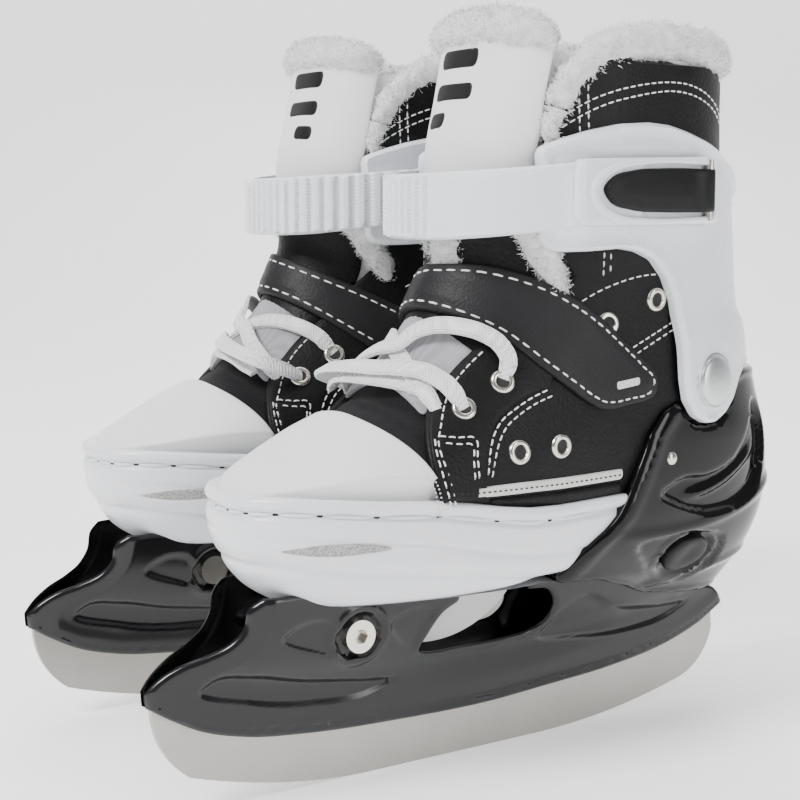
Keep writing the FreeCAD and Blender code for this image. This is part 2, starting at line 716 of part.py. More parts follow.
def make_shaft_keepout():
    """Region filled by the leather wall of the shaft, with a seat gap above it."""
    return side_prism([
        (0.0, 243.0), (17.6, 258.0), (32.4, 267.4), (50.0, 276.2), (77.2, 279.0), (98.2, 276.9),
        (112.0, 267.6), (130.0, 262.6), (130.0, 100.0), (0.0, 100.0),
    ], -60, 60)


def make_tongue_upper():
    return side_prism([
        (-13.0, 209.0), (-3.0, 225.0), (7.0, 244.0), (14.0, 268.0), (17.0, 288.0), (21.0, 292.0),
        (25.5, 288.0), (23.0, 268.0), (16.0, 244.0), (6.0, 225.0), (-4.0, 209.0),
    ], -25, 25)


MAKERS = {
    "blade": make_blade,
    "blade_holder": make_blade_holder,
    "blade_screws": make_blade_screws,
    "toe_bolt": make_toe_bolt,
    "toe_shell": make_toe_shell,
    "toe_keel": make_toe_keel,
    "size_rack": make_size_rack,
    "toe_cap": make_toe_cap,
    "heel_shell": make_heel_shell,
    "lock_button": make_lock_button,
    "button_spring": make_button_spring,
    "cuff": make_cuff,
    "shell_rivets": make_shell_rivets,
    "ladder_strap": make_ladder_strap,
    "buckle_frame": make_buckle_frame,
    "buckle_lever": make_buckle_lever,
    "lever_pin": make_lever_pin,
    "cuff_studs": make_cuff_studs,
    "upper_outer": make_upper_outer,
    "upper_inner": make_upper_inner,
    "gusset": make_gusset,
    "piping": make_piping,
    "eyelets": make_eyelets,
    "laces": make_laces,
    "instep_strap": make_instep_strap,
    "tongue_lower": make_tongue_lower,
    "insole": make_insole,
    "boot_shaft": make_boot_shaft,
    "fur_lining": make_fur_lining,
    "tongue_upper": make_tongue_upper,
}

for name, make in MAKERS.items():
    left = make()
    right = left.mirror(V(0, 0, 0), V(1, 0, 0))
    left.translate(V(PAIR_SPACING / 2, -LENGTH_CENTRE, 0))
    right.translate(V(-PAIR_SPACING / 2, -LENGTH_CENTRE, 0))
    left.exportStep("parts/left_" + name + ".step")
    right.exportStep("parts/right_" + name + ".step")
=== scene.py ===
"""Blender looks for a mirrored pair of adjustable ice skates.

All shapes are worked out in millimetres around the left skate's own blade plane and are then
placed twice: once as the left skate and once mirrored as the right skate.
"""

import math

import bpy
import numpy as np
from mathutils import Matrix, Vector, noise as fractal
from mathutils.bvhtree import BVHTree
from mathutils.geometry import delaunay_2d_cdt


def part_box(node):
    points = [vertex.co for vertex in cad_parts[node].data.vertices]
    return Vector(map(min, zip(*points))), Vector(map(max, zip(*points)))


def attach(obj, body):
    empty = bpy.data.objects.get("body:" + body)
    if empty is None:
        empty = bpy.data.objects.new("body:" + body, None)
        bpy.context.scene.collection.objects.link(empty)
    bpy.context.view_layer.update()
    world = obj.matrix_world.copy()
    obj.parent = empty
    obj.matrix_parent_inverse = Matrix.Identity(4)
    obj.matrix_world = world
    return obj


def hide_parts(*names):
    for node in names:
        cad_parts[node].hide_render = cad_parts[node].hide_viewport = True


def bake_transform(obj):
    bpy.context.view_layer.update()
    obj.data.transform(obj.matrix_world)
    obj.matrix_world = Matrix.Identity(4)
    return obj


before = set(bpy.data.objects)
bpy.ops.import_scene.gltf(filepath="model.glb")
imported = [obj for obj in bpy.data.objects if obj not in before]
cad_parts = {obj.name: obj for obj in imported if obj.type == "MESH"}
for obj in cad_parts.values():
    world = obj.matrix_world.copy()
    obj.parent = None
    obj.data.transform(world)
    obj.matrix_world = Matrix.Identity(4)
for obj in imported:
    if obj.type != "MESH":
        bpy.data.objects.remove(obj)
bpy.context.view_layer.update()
rng = np.random.default_rng(7)

# Places on one skate as (y, z) in its own millimetres.
BOLT = (-56.7, 60.3)
PIVOT = (91.3, 149.2)
SMALL_RIVET = (69.4, 119.8)
BUTTON = (90.1, 76.0)
BUTTON_SIZE = (12.6, 8.0)

bolt_low, bolt_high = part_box("left_toe_bolt")
blade_low, blade_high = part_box("left_blade")
OFFSET_X = (blade_low.x + blade_high.x) * 500.0
OFFSET_Y = (bolt_low.y + bolt_high.y) * 500.0 - BOLT[0]
SIDES = (("left", 1.0), ("right", -1.0))

# Flat coordinates of the surfaces that go round the boot: one radian is this long.
RADIAN = 50.0
FRONT = -math.pi / 2 * RADIAN
REAR = math.pi / 2 * RADIAN


# ---------------------------------------------------------------- placing meshes

def emit(name, mesh, material, body, hides=(), sharp=38.0, only=None):
    """Places one local mesh on both skates and ties it to a CAD body; given two bodies it only bakes the
    mesh where it stands.
    """
    verts, faces = mesh
    made = []
    for side, sign in SIDES:
        if only and side != only:
            continue
        v = np.array(verts, float)
        v = np.column_stack((sign * (v[:, 0] + OFFSET_X), v[:, 1] + OFFSET_Y, v[:, 2])) / 1000.0
        f = [tuple(int(i) for i in face) for face in faces]
        if sign < 0:
            f = [face[::-1] for face in f]
        me = bpy.data.meshes.new(side + "_" + name)
        me.from_pydata([tuple(p) for p in v], [], f)
        me.validate()
        me.shade_smooth()
        me.set_sharp_from_angle(angle=math.radians(sharp))
        me.materials.append(material)
        ob = bpy.data.objects.new(side + "_" + name, me)
        bpy.context.scene.collection.objects.link(ob)
        if isinstance(body, tuple):
            a, b, start, end = body
            a, b = a.format(side), b.format(side)
            start, end = ((sign * OFFSET_X / 1000, (y + OFFSET_Y) / 1000, z / 1000) for y, z in (start, end))
            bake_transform(ob)
        else:
            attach(ob, body.format(side))
        if hides:
            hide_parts(*[side + "_" + n for n in hides])
        made.append(ob)
    return made


def flipped(mesh):
    """The same mesh with its faces turned over."""
    return mesh[0], [face[::-1] for face in mesh[1]]


def mirrored(mesh):
    """The mesh on the other side of the blade plane."""
    return flipped((mesh[0] * (-1, 1, 1), mesh[1]))


def join(parts):
    """Joins (verts, faces) pairs into one."""
    verts, faces, n = [], [], 0
    for v, f in parts:
        v = np.asarray(v, float).reshape(-1, 3)
        verts.append(v)
        faces += [tuple(i + n for i in face) for face in f]
        n += len(v)
    return np.vstack(verts), faces


def unit(v):
    """Vectors of length 1."""
    v = np.asarray(v, float)
    return v / np.maximum(np.linalg.norm(v, axis=-1, keepdims=True), 1e-9)


# ---------------------------------------------------------------- curves and outlines

def hermite(keys, values, x):
    """Smooth curve through (key, value) pairs; values may be vectors."""
    keys = np.asarray(keys, float)
    values = np.asarray(values, float)
    flat = values.ndim == 1
    if flat:
        values = values[:, None]
    slope = np.gradient(values, keys, axis=0)
    x = np.asarray(x, float)
    shape = x.shape
    x = np.clip(x.ravel(), keys[0], keys[-1])
    i = np.clip(np.searchsorted(keys, x, side="right") - 1, 0, len(keys) - 2)
    h = (keys[i + 1] - keys[i])[:, None]
    t = ((x - keys[i]) / h[:, 0])[:, None]
    a = (2 * t ** 3 - 3 * t ** 2 + 1) * values[i] + (t ** 3 - 2 * t ** 2 + t) * h * slope[i]
    b = (3 * t ** 2 - 2 * t ** 3) * values[i + 1] + (t ** 3 - t ** 2) * h * slope[i + 1]
    out = (a + b).reshape(shape + (values.shape[1],))
    return out[..., 0] if flat else out


def lengths(p):
    """Distance along a line of points, from its start to each of them."""
    return np.concatenate(([0], np.cumsum(np.linalg.norm(np.diff(p, axis=0), axis=1))))


def along(p, d, s):
    """Points at the distances s along a line whose own points lie at the distances d."""
    return np.column_stack([np.interp(s, d, p[:, k]) for k in range(p.shape[1])])


def spline(points, step=1.0, closed=False):
    """Points spaced about `step` along a smooth curve through the given points."""
    p = np.asarray(points, float)
    if closed:
        p = np.vstack((p[-2:], p, p[:3]))
    d = lengths(p)
    lo, hi = (d[2], d[-3]) if closed else (d[0], d[-1])
    fine = hermite(d, p, np.linspace(lo, hi, max(8, int((hi - lo) / step * 3))))
    return resample(fine, step, closed)


def resample(p, step, closed=False):
    """The same line with evenly spaced points."""
    p = np.asarray(p, float)
    d = lengths(p)
    n = max(3, int(round(d[-1] / step)) + 1)
    s = np.linspace(0, d[-1], n)
    out = along(p, d, s)
    return out[:-1] if closed else out


def rounded(points, radius, step=1.0):
    """Closed polygon outline with rounded corners."""
    p = np.asarray(points, float)
    out = []
    n = len(p)
    for i in range(n):
        a, b, c = p[i - 1], p[i], p[(i + 1) % n]
        u, w = unit(a - b), unit(c - b)
        r = min(radius, 0.45 * np.linalg.norm(a - b), 0.45 * np.linalg.norm(c - b))
        s, e = b + u * r, b + w * r
        for t in np.linspace(0, 1, 7):
            out.append((1 - t) ** 2 * s + 2 * t * (1 - t) * b + t * t * e)
    out.append(out[0])
    return resample(out, step, True)


def inside(poly, pts):
    """Which points lie inside a closed polygon."""
    poly = np.asarray(poly, float)
    x, y = pts[:, 0], pts[:, 1]
    res = np.zeros(len(pts), bool)
    j = len(poly) - 1
    for i in range(len(poly)):
        xi, yi = poly[i]
        xj, yj = poly[j]
        hit = ((yi > y) != (yj > y)) & (x < (xj - xi) * (y - yi) / (yj - yi + 1e-12) + xi)
        res ^= hit
        j = i
    return res


def edge_distance(poly, pts, closed=True):
    """Distance from points to a polyline."""
    a = np.asarray(poly, float)
    b = np.roll(a, -1, axis=0) if closed else a[1:]
    if not closed:
        a = a[:-1]
    best = np.full(len(pts), 1e9)
    for p, q in zip(a, b):
        d = q - p
        t = np.clip(((pts - p) @ d) / max(d @ d, 1e-12), 0, 1)
        best = np.minimum(best, np.linalg.norm(pts - (p + t[:, None] * d), axis=1))
    return best


def smooth(x):
    """Eased step from 0 to 1."""
    x = np.clip(x, 0, 1)
    return x * x * (3 - 2 * x)


def bell(x, width):
    """Rounded bump of height 1 about x = 0."""
    return np.exp(-(x / width) ** 2)


# ---------------------------------------------------------------- surfaces

def ring_xy(t, power):
    """Superellipse of unit half sizes at polar angle t."""
    c, s = np.cos(t), np.sin(t)
    r = (np.abs(c) ** power + np.abs(s) ** power) ** (-1.0 / power)
    return c * r, s * r


def far_side(points, middle):
    """Flat points carried over to the other side of the front or rear middle line."""
    return [(2 * middle - a, b) for a, b in points]


class Drum:
    """Upright surface round plan ovals (z, y_front, y_rear, half_width). a is angle x RADIAN, b is z."""

    def __init__(self, stations, power):
        s = np.asarray(stations, float)
        self.z, self.rest, self.power = s[:, 0], s[:, 1:], power

    def point(self, a, b, grow=0.0):
        v = hermite(self.z, self.rest, b)
        x, y = ring_xy(np.asarray(a) / RADIAN, self.power)
        front, rear, half = v[..., 0], v[..., 1], v[..., 2]
        y = (front + rear) / 2 + y * ((rear - front) / 2 + grow)
        return np.stack((x * (half + grow), y, np.asarray(b) + 0 * x), -1)

    def normal(self, a, b):
        a, b = np.asarray(a, float), np.asarray(b, float)
        da = self.point(a + 0.5, b) - self.point(a - 0.5, b)
        db = self.point(a, b + 0.5) - self.point(a, b - 0.5)
        return unit(np.cross(da, db))

    def __call__(self, a, b, h):
        return self.point(a, b) + self.normal(a, b) * np.asarray(h)[..., None]

    def side(self, y, z):
        """The a value on the outer side where the surface passes through y at height z."""
        v = hermite(self.z, self.rest, np.array([float(z)]))[0]
        t = np.linspace(-math.pi / 2, math.pi / 2, 721)
        ys = (v[0] + v[1]) / 2 + ring_xy(t, self.power)[1] * (v[1] - v[0]) / 2
        return float(np.interp(y, ys, t) * RADIAN)

    def outline(self, points):
        return [(self.side(y, z), z) for y, z in points]

    def wrap(self, upper, lower):
        """Closed outline going back round the heel: upper and lower side edges, mirrored to the far side."""
        up = self.outline(upper)
        low = self.outline(lower)
        return up + far_side(up, REAR)[::-1] + far_side(low, REAR) + low[::-1]


class Side:
    """Outer side of the boot as half width over (y, z). a is y and b is z."""

    def __init__(self, width, step, y0, z0, sign=1.0):
        self.w, self.step, self.y0, self.z0, self.sign = width, step, y0, z0, sign
        self.dy, self.dz = np.gradient(width, step)

    def _look(self, grid, a, b):
        i = np.clip((np.asarray(a, float) - self.y0) / self.step, 0, grid.shape[0] - 1.001)
        j = np.clip((np.asarray(b, float) - self.z0) / self.step, 0, grid.shape[1] - 1.001)
        i0, j0 = i.astype(int), j.astype(int)
        u, v = i - i0, j - j0
        return (grid[i0, j0] * (1 - u) * (1 - v) + grid[i0 + 1, j0] * u * (1 - v)
                + grid[i0, j0 + 1] * (1 - u) * v + grid[i0 + 1, j0 + 1] * u * v)

    def __call__(self, a, b, h):
        a, b = np.asarray(a, float), np.asarray(b, float)
        w = self._look(self.w, a, b)
        n = unit(np.stack((np.ones_like(w), -self._look(self.dy, a, b), -self._look(self.dz, a, b)), -1))
        p = np.stack((w, a, b), -1) + n * np.asarray(h)[..., None]
        p[..., 0] *= self.sign
        return p

    def far(self):
        return Side(self.w, self.step, self.y0, self.z0, -self.sign)


class Wrap:
    """Surface hit by rays from outside towards a tilted axis. a is angle x RADIAN, b is along the axis."""

    def __init__(self, bvh, centre, tilt, reach=200.0):
        self.bvh, self.c = bvh, np.array(centre, float)
        t = math.radians(tilt)
        self.f = np.array((0.0, math.cos(t), math.sin(t)))
        self.n = np.array((0.0, -math.sin(t), math.cos(t)))
        self.x = np.array((1.0, 0.0, 0.0))
        self.reach = reach

    def __call__(self, a, b, h):
        a, b, h = np.broadcast_arrays(np.asarray(a, float), np.asarray(b, float), np.asarray(h, float))
        out = np.zeros(a.shape + (3,))
        for i in np.ndindex(a.shape):
            t = a[i] / RADIAN
            d = self.x * math.cos(t) + self.f * math.sin(t)
            o = self.c + self.n * b[i]
            hit, nor, _, _ = self.bvh.ray_cast(Vector(o + d * self.reach), Vector(-d))
            out[i] = (np.array(hit) if hit is not None else o + d * 30) + d * h[i]
        return out


def panel(mapper, outline, thick=1.6, edge=1.4, grid=2.2, lift=0.0, dent=None, holes=(), skirt=2.5):
    """Skin with a rounded edge: triangulated in the mapper's flat coordinates and lifted off it."""
    outline = np.asarray(outline, float)
    loops = [outline] + [np.asarray(h, float) for h in holes]
    lo, hi = outline.min(0), outline.max(0)
    gx, gy = np.meshgrid(np.arange(lo[0], hi[0], grid), np.arange(lo[1], hi[1], grid * 0.87), indexing="ij")
    gx = gx + (np.arange(gx.shape[1]) % 2) * grid / 2
    pts = np.column_stack((gx.ravel(), gy.ravel()))
    keep = inside(outline, pts)
    for h in loops[1:]:
        keep &= ~inside(h, pts)
    pts = pts[keep]
    near = np.min([edge_distance(l, pts) for l in loops], axis=0)
    pts = pts[near > edge * 1.15 + 0.3]
    insets = []
    for l in loops:
        nxt, prv = np.roll(l, -1, axis=0), np.roll(l, 1, axis=0)
        tan = unit(nxt - prv)
        nor = np.column_stack((-tan[:, 1], tan[:, 0]))
        for d in (0.12, 0.4, 1.0):
            for s in (1, -1):
                q = l + nor * edge * d * s
                k = inside(outline, q)
                for h in loops[1:]:
                    k &= ~inside(h, q)
                q = q[k]
                if len(q):
                    dist = np.min([edge_distance(m, q) for m in loops], axis=0)
                    insets.append(q[dist > edge * d * 0.93])
    all_pts = np.vstack(loops + insets + [pts])
    edges, n = [], 0
    for l in loops:
        edges += [(n + i, n + (i + 1) % len(l)) for i in range(len(l))]
        n += len(l)
    v2, _, tris, _, _, _ = delaunay_2d_cdt([Vector(p) for p in all_pts], edges, [], 0, 1e-4)
    v2 = np.array([tuple(p) for p in v2])
    cent = np.array([v2[list(t)].mean(0) for t in tris])
    ok = inside(outline, cent)
    for h in loops[1:]:
        ok &= ~inside(h, cent)
    tris = [t for t, k in zip(tris, ok) if k]
    dist = np.min([edge_distance(l, v2) for l in loops], axis=0)
    k = np.clip(dist / edge, 0, 1)
    height = lift + thick * np.sqrt(np.clip(1 - (1 - k) ** 2, 0, 1))
    if dent is not None:
        height = height + dent(v2[:, 0], v2[:, 1], dist)
    top = mapper(v2[:, 0], v2[:, 1], height)
    count = {}
    for t in tris:
        for i in range(3):
            e = (t[i], t[(i + 1) % 3])
            count[e] = count.get(e, 0) + 1
    rim = [e for e in count if (e[1], e[0]) not in count]
    ids = sorted({i for e in rim for i in e})
    low_of = {i: len(v2) + k for k, i in enumerate(ids)}
    low_h = np.full(len(ids), lift - skirt)
    low = mapper(v2[ids, 0], v2[ids, 1], low_h)
    faces = [tuple(t) for t in tris]
    faces += [(e[1], e[0], low_of[e[0]], low_of[e[1]]) for e in rim]
    verts = np.vstack((top, low))
    centre = verts[list(faces[len(tris) // 2])]
    nrm = np.cross(centre[1] - centre[0], centre[2] - centre[0])
    a0, b0 = v2[tris[len(tris) // 2][0]]
    low, high = (mapper(np.array([a0]), np.array([b0]), np.array([h]))[0] for h in (0.0, 2.0))
    if nrm @ (high - low) < 0:
        faces = [f[::-1] for f in faces]
    return verts, faces


def strip(path, normals, width, thick, crown=0.0):
    """Flat ribbon along a 3-D path with given outward normals."""
    path, normals = np.asarray(path, float), unit(normals)
    tan = unit(np.gradient(path, axis=0))
    across = unit(np.cross(tan, normals))
    nor = unit(np.cross(across, tan))
    w = np.broadcast_to(np.asarray(width, float), (len(path),))[:, None] / 2
    side = [(0.4, 1 + crown), (0.86, 1), (0.97, 0.6), (1, 0), (0.9, -0.4)]
    prof = [(-u, v) for u, v in side[3::-1]] + [(0, 1 + crown * 1.2)] + side + [(0, -0.5), (-0.9, -0.4)]
    rows = np.stack([path + across * w * u + nor * thick * v for u, v in prof], 1)
    m = len(prof)
    verts = rows.reshape(-1, 3)
    faces = []
    for i in range(len(path) - 1):
        for k in range(m):
            a, b = i * m + k, i * m + (k + 1) % m
            faces.append((a, b, b + m, a + m))
    faces.append(tuple(range(m))[::-1])
    faces.append(tuple((len(path) - 1) * m + k for k in range(m)))
    return verts, [f[::-1] for f in faces]


def tube(path, radius, sides=10, squash=1.0, normals=None):
    """Capped pipe along a 3-D path; squash flattens it along the given normals."""
    path = np.asarray(path, float)
    tan = unit(np.gradient(path, axis=0))
    ref = np.tile((0.0, 0.0, 1.0), (len(path), 1)) if normals is None else unit(normals)
    bad = np.abs(np.sum(ref * tan, 1)) > 0.95
    ref[bad] = (1.0, 0.0, 0.0)
    u = unit(np.cross(tan, ref))
    v = unit(np.cross(u, tan))
    r = np.broadcast_to(np.asarray(radius, float), (len(path),))[:, None]
    rows = []
    for k in range(sides):
        t = 2 * math.pi * k / sides
        rows.append(path + u * r * math.cos(t) + v * r * squash * math.sin(t))
    verts = np.stack(rows, 1).reshape(-1, 3)
    faces = []
    for i in range(len(path) - 1):
        for k in range(sides):
            a, b = i * sides + k, i * sides + (k + 1) % sides
            faces.append((a, a + sides, b + sides, b))
    faces.append(tuple(range(sides)))
    faces.append(tuple((len(path) - 1) * sides + k for k in range(sides))[::-1])
    return verts, faces


def stitches(mapper, path, lift, length=2.3, gap=1.0, radius=0.33):
    """Row of thread stitches along a flat path on a mapped surface."""
    p = resample(path, 0.5)
    d = lengths(p)
    parts = []
    n = max(1, int(d[-1] / (length + gap)))
    for i in range(n):
        s0 = (i + 0.5) * d[-1] / n - length / 2
        s = s0 + length * np.array([0.0, 0.08, 0.3, 0.5, 0.7, 0.92, 1.0])
        q = along(p, d, s)
        h = lift + radius * np.array([-0.9, -0.1, 0.45, 0.55, 0.45, -0.1, -0.9])
        r = radius * np.array([0.5, 0.9, 1.0, 1.0, 1.0, 0.9, 0.5])
        pts = mapper(q[:, 0], q[:, 1], h)
        parts.append(tube(pts, r, sides=6))
    return join(parts)


def lathe(profile, point, normal, steps=36):
    """Turned shape: (radius, height) profile round a point's normal."""
    n = unit(normal)
    ref = np.array((0.0, 0.0, 1.0)) if abs(n[2]) < 0.9 else np.array((1.0, 0.0, 0.0))
    u = unit(np.cross(n, ref))
    w = np.cross(n, u)
    verts, faces = [], []
    m = len(profile)
    for i in range(steps):
        t = 2 * math.pi * i / steps
        for r, h in profile:
            verts.append(point + (u * math.cos(t) + w * math.sin(t)) * r + n * h)
    for i in range(steps):
        for k in range(m - 1):
            a, b = i * m + k, ((i + 1) % steps) * m + k
            faces.append((a, b, b + 1, a + 1))
    return np.array(verts), faces


def turned_pair(drum, place, lift, profile, steps):
    """The same turned shape on both sides of a drum, square to its surface at (y, z)."""
    a, b = np.array([drum.side(*place)]), np.array([place[1]])
    point, normal = drum(a, b, np.array([lift]))[0], drum.normal(a, b)[0]
    return join([lathe(profile, point * (hand, 1, 1), normal * (hand, 1, 1), steps) for hand in (1, -1)])


# ---------------------------------------------------------------- materials

def material(name, colour, rough, metal=0.0, coat=0.0, sheen=0.0, specular=0.5, build=None):
    """Material with plain values; build adds the shader nodes of its surface."""
    m = bpy.data.materials.new(name)
    m.use_nodes = True
    t = m.node_tree
    p = t.nodes["Principled BSDF"]
    p.inputs["Base Color"].default_value = (*colour, 1)
    p.inputs["Roughness"].default_value = rough
    p.inputs["Metallic"].default_value = metal
    p.inputs["Coat Weight"].default_value = coat
    p.inputs["Coat Roughness"].default_value = 0.08
    p.inputs["Sheen Weight"].default_value = sheen
    p.inputs["Specular IOR Level"].default_value = specular
    coord = t.nodes.new("ShaderNodeTexCoord").outputs["Object"]
    if build:
        build(t, p, coord)
    m.diffuse_color = (*colour, 1)
    return m


def node(t, kind, inputs=None, **settings):
    """New shader node; an input is a value or another node's output."""
    n = t.nodes.new(kind)
    for k, v in settings.items():
        setattr(n, k, v)
    for k, v in (inputs or {}).items():
        if isinstance(v, bpy.types.NodeSocket):
            t.links.new(v, n.inputs[k])
        else:
            n.inputs[k].default_value = v
    return n


def noise(t, coord, scale, detail=3.0, rough=0.55, stretch=None):
    """Noise texture, optionally stretched."""
    if stretch:
        coord = node(t, "ShaderNodeMapping", {"Vector": coord, "Scale": stretch}).outputs[0]
    inputs = {"Vector": coord, "Scale": scale, "Detail": detail, "Roughness": rough}
    return node(t, "ShaderNodeTexNoise", inputs).outputs["Fac"]


def ranged(t, value, low, high):
    """Value of 0 to 1 spread between low and high."""
    return node(t, "ShaderNodeMapRange", {"Value": value, "To Min": low, "To Max": high}).outputs["Result"]


def mixed(t, factor, a, b):
    """Colour between a and b."""
    n = t.nodes.new("ShaderNodeMix")
    n.data_type = "RGBA"
    t.links.new(factor, n.inputs[0])
    for socket, colour in ((n.inputs[6], a), (n.inputs[7], b)):
        if isinstance(colour, bpy.types.NodeSocket):
            t.links.new(colour, socket)
        else:
            socket.default_value = (*colour, 1)
    return n.outputs[2]


def bump(t, p, height, distance, strength=1.0, under=None):
    """Relief of a shader, optionally on top of another."""
    n = node(t, "ShaderNodeBump", {"Height": height, "Distance": distance, "Strength": strength})
    if under is not None:
        t.links.new(under.outputs[0], n.inputs["Normal"])
    t.links.new(n.outputs[0], p.inputs["Normal"])
    return n


def pebble(colour, light, depth=0.00022, scale=820.0):
    """Fine-grained leather."""
    def build(t, p, coord):
        wobble = node(t, "ShaderNodeTexNoise", {"Vector": coord, "Scale": 300.0,
                                                "Detail": 2.0}).outputs["Color"]
        small = {0: wobble, 1: (0.0012, 0.0012, 0.0012)}
        warped = node(t, "ShaderNodeVectorMath", small, operation="MULTIPLY").outputs[0]
        moved = node(t, "ShaderNodeVectorMath", {0: coord, 1: warped}, operation="ADD").outputs[0]
        grain = {"Vector": moved, "Scale": scale}
        cells = node(t, "ShaderNodeTexVoronoi", grain, feature="SMOOTH_F1").outputs["Distance"]
        fine = noise(t, coord, 2600.0, 2.0)
        low = bump(t, p, fine, 0.00005, 0.5)
        bump(t, p, cells, -depth, 0.85, low)
        patch = noise(t, coord, 38.0, 4.0)
        t.links.new(mixed(t, patch, colour, light), p.inputs["Base Color"])
        t.links.new(ranged(t, noise(t, coord, 140.0, 3.0), 0.36, 0.56), p.inputs["Roughness"])
    return build


def plastic(colour, shade, r0, r1, pit=0.00002):
    """Moulded surface with faint mottling and pits."""
    def build(t, p, coord):
        t.links.new(mixed(t, noise(t, coord, 22.0, 3.0), colour, shade), p.inputs["Base Color"])
        t.links.new(ranged(t, noise(t, coord, 90.0, 4.0), r0, r1), p.inputs["Roughness"])
        bump(t, p, noise(t, coord, 1500.0, 2.0), pit, 0.6)
    return build


def brushed(colour, shade, r0, r1, stretch=(1.0, 0.03, 1.0), depth=0.00003):
    """Metal with fine lines along y."""
    def build(t, p, coord):
        lines = noise(t, coord, 1400.0, 4.0, 0.6, stretch)
        blot = noise(t, coord, 30.0, 4.0)
        t.links.new(mixed(t, blot, colour, shade), p.inputs["Base Color"])
        t.links.new(ranged(t, lines, r0, r1), p.inputs["Roughness"])
        bump(t, p, lines, depth, 0.5)
    return build


def woven(colour, shade, pitch, depth):
    """Cloth or thread with two crossing sets of yarn."""
    def build(t, p, coord):
        turned = node(t, "ShaderNodeMapping", {"Vector": coord, "Rotation": (0.3, 0.5, 0.785)}).outputs[0]
        yarn = {"Vector": turned, "Scale": 0.314 / pitch, "Distortion": 0.6, "Detail": 1.0}
        a, b = (node(t, "ShaderNodeTexWave", yarn, bands_direction=way).outputs["Fac"] for way in "XY")
        weave = node(t, "ShaderNodeMath", {0: a, 1: b}, operation="MAXIMUM").outputs[0]
        t.links.new(mixed(t, weave, shade, colour), p.inputs["Base Color"])
        t.links.new(ranged(t, noise(t, coord, 400.0, 2.0), 0.7, 0.95), p.inputs["Roughness"])
        bump(t, p, weave, depth, 0.8)
    return build


def fleece(t, p, coord):
    """Clumped pile."""
    clump = noise(t, coord, 260.0, 5.0, 0.7)
    t.links.new(mixed(t, clump, (0.80, 0.80, 0.79), (0.96, 0.96, 0.95)), p.inputs["Base Color"])
    t.links.new(ranged(t, clump, 0.9, 1.0), p.inputs["Roughness"])
    bump(t, p, noise(t, coord, 900.0, 4.0, 0.7), 0.0012, 0.9)


def grille(t, p, coord):
    """Small cells of the dark inlay."""
    cells = node(t, "ShaderNodeTexVoronoi", {"Vector": coord, "Scale": 1300.0},
                 feature="F1").outputs["Distance"]
    t.links.new(mixed(t, ranged(t, cells, 0, 1.6), (0.10, 0.10, 0.10), (0.42, 0.42, 0.41)),
                p.inputs["Base Color"])
    bump(t, p, cells, 0.0003, 1.0)
    p.inputs["Roughness"].default_value = 0.6


LEATHER = material("black_pebble_leather", (0.007, 0.007, 0.0075), 0.45, specular=0.14,
                   build=pebble((0.005, 0.005, 0.0055), (0.010, 0.010, 0.0105)))
STRAP_LEATHER = material("strap_leather", (0.014, 0.014, 0.015), 0.5, specular=0.14,
                         build=pebble((0.012, 0.012, 0.013), (0.022, 0.022, 0.023), 0.00016, 1000.0))
WHITE_LEATHER = material("white_smooth_leather", (0.80, 0.80, 0.80), 0.5,
                         build=plastic((0.83, 0.83, 0.83), (0.76, 0.76, 0.765), 0.42, 0.58, 0.00006))
TOE_WHITE = material("white_shell_plastic", (0.78, 0.79, 0.82), 0.3, coat=0.15,
                     build=plastic((0.80, 0.81, 0.84), (0.73, 0.745, 0.78), 0.24, 0.38))
CUFF_WHITE = material("white_cuff_plastic", (0.80, 0.82, 0.86), 0.25, coat=0.2,
                      build=plastic((0.81, 0.825, 0.86), (0.75, 0.77, 0.82), 0.2, 0.34))
GLOSS_BLACK = material("gloss_black_plastic", (0.003, 0.003, 0.0035), 0.1, specular=0.24,
                       build=plastic((0.002, 0.002, 0.0025), (0.004, 0.004, 0.0045), 0.07, 0.15, 0.000003))
HOLDER_BLACK = material("satin_black_plastic", (0.006, 0.006, 0.007), 0.18, specular=0.4,
                        build=plastic((0.005, 0.005, 0.006), (0.009, 0.009, 0.010), 0.14, 0.26, 0.000004))
LEVER_BLACK = material("matt_black_plastic", (0.007, 0.007, 0.0075), 0.45, specular=0.18,
                       build=plastic((0.006, 0.006, 0.0065), (0.010, 0.010, 0.0105), 0.38, 0.55, 0.00004))
STEEL = material("satin_steel", (0.42, 0.40, 0.375), 0.42, metal=1.0,
                 build=brushed((0.46, 0.44, 0.41), (0.36, 0.345, 0.325), 0.34, 0.55))
NICKEL = material("nickel", (0.70, 0.67, 0.60), 0.22, metal=1.0,
                  build=brushed((0.74, 0.70, 0.62), (0.62, 0.60, 0.55), 0.16, 0.32, (1.0, 1.0, 1.0),
                                0.00001))
SATIN_CAP = material("satin_silver", (0.62, 0.63, 0.64), 0.38, metal=1.0,
                     build=brushed((0.66, 0.67, 0.68), (0.55, 0.56, 0.57), 0.3, 0.46))
THREAD = material("white_thread", (0.82, 0.82, 0.80), 0.8,
                  build=woven((0.86, 0.86, 0.84), (0.66, 0.66, 0.64), 0.0005, 0.0001))
LACE = material("white_lace_weave", (0.82, 0.82, 0.82), 0.85, sheen=0.2,
                build=woven((0.88, 0.88, 0.88), (0.66, 0.66, 0.67), 0.0011, 0.0003))
SATIN = material("grey_satin_lining", (0.28, 0.28, 0.30), 0.4, sheen=0.6,
                 build=woven((0.34, 0.34, 0.36), (0.22, 0.22, 0.24), 0.0006, 0.00008))
DARK_CLOTH = material("dark_gusset_cloth", (0.02, 0.02, 0.021), 0.7, sheen=0.08, specular=0.12,
                      build=woven((0.010, 0.010, 0.011), (0.005, 0.005, 0.006), 0.0008, 0.00012))
# Light grey of the piping; on the cap's perforation dots it is painted shade of the pricked holes.
PIPING_WHITE = material("light_piping_and_painted_perforation_shade", (0.62, 0.62, 0.60), 0.6,
                        build=woven((0.70, 0.70, 0.68), (0.5, 0.5, 0.48), 0.0009, 0.0001))
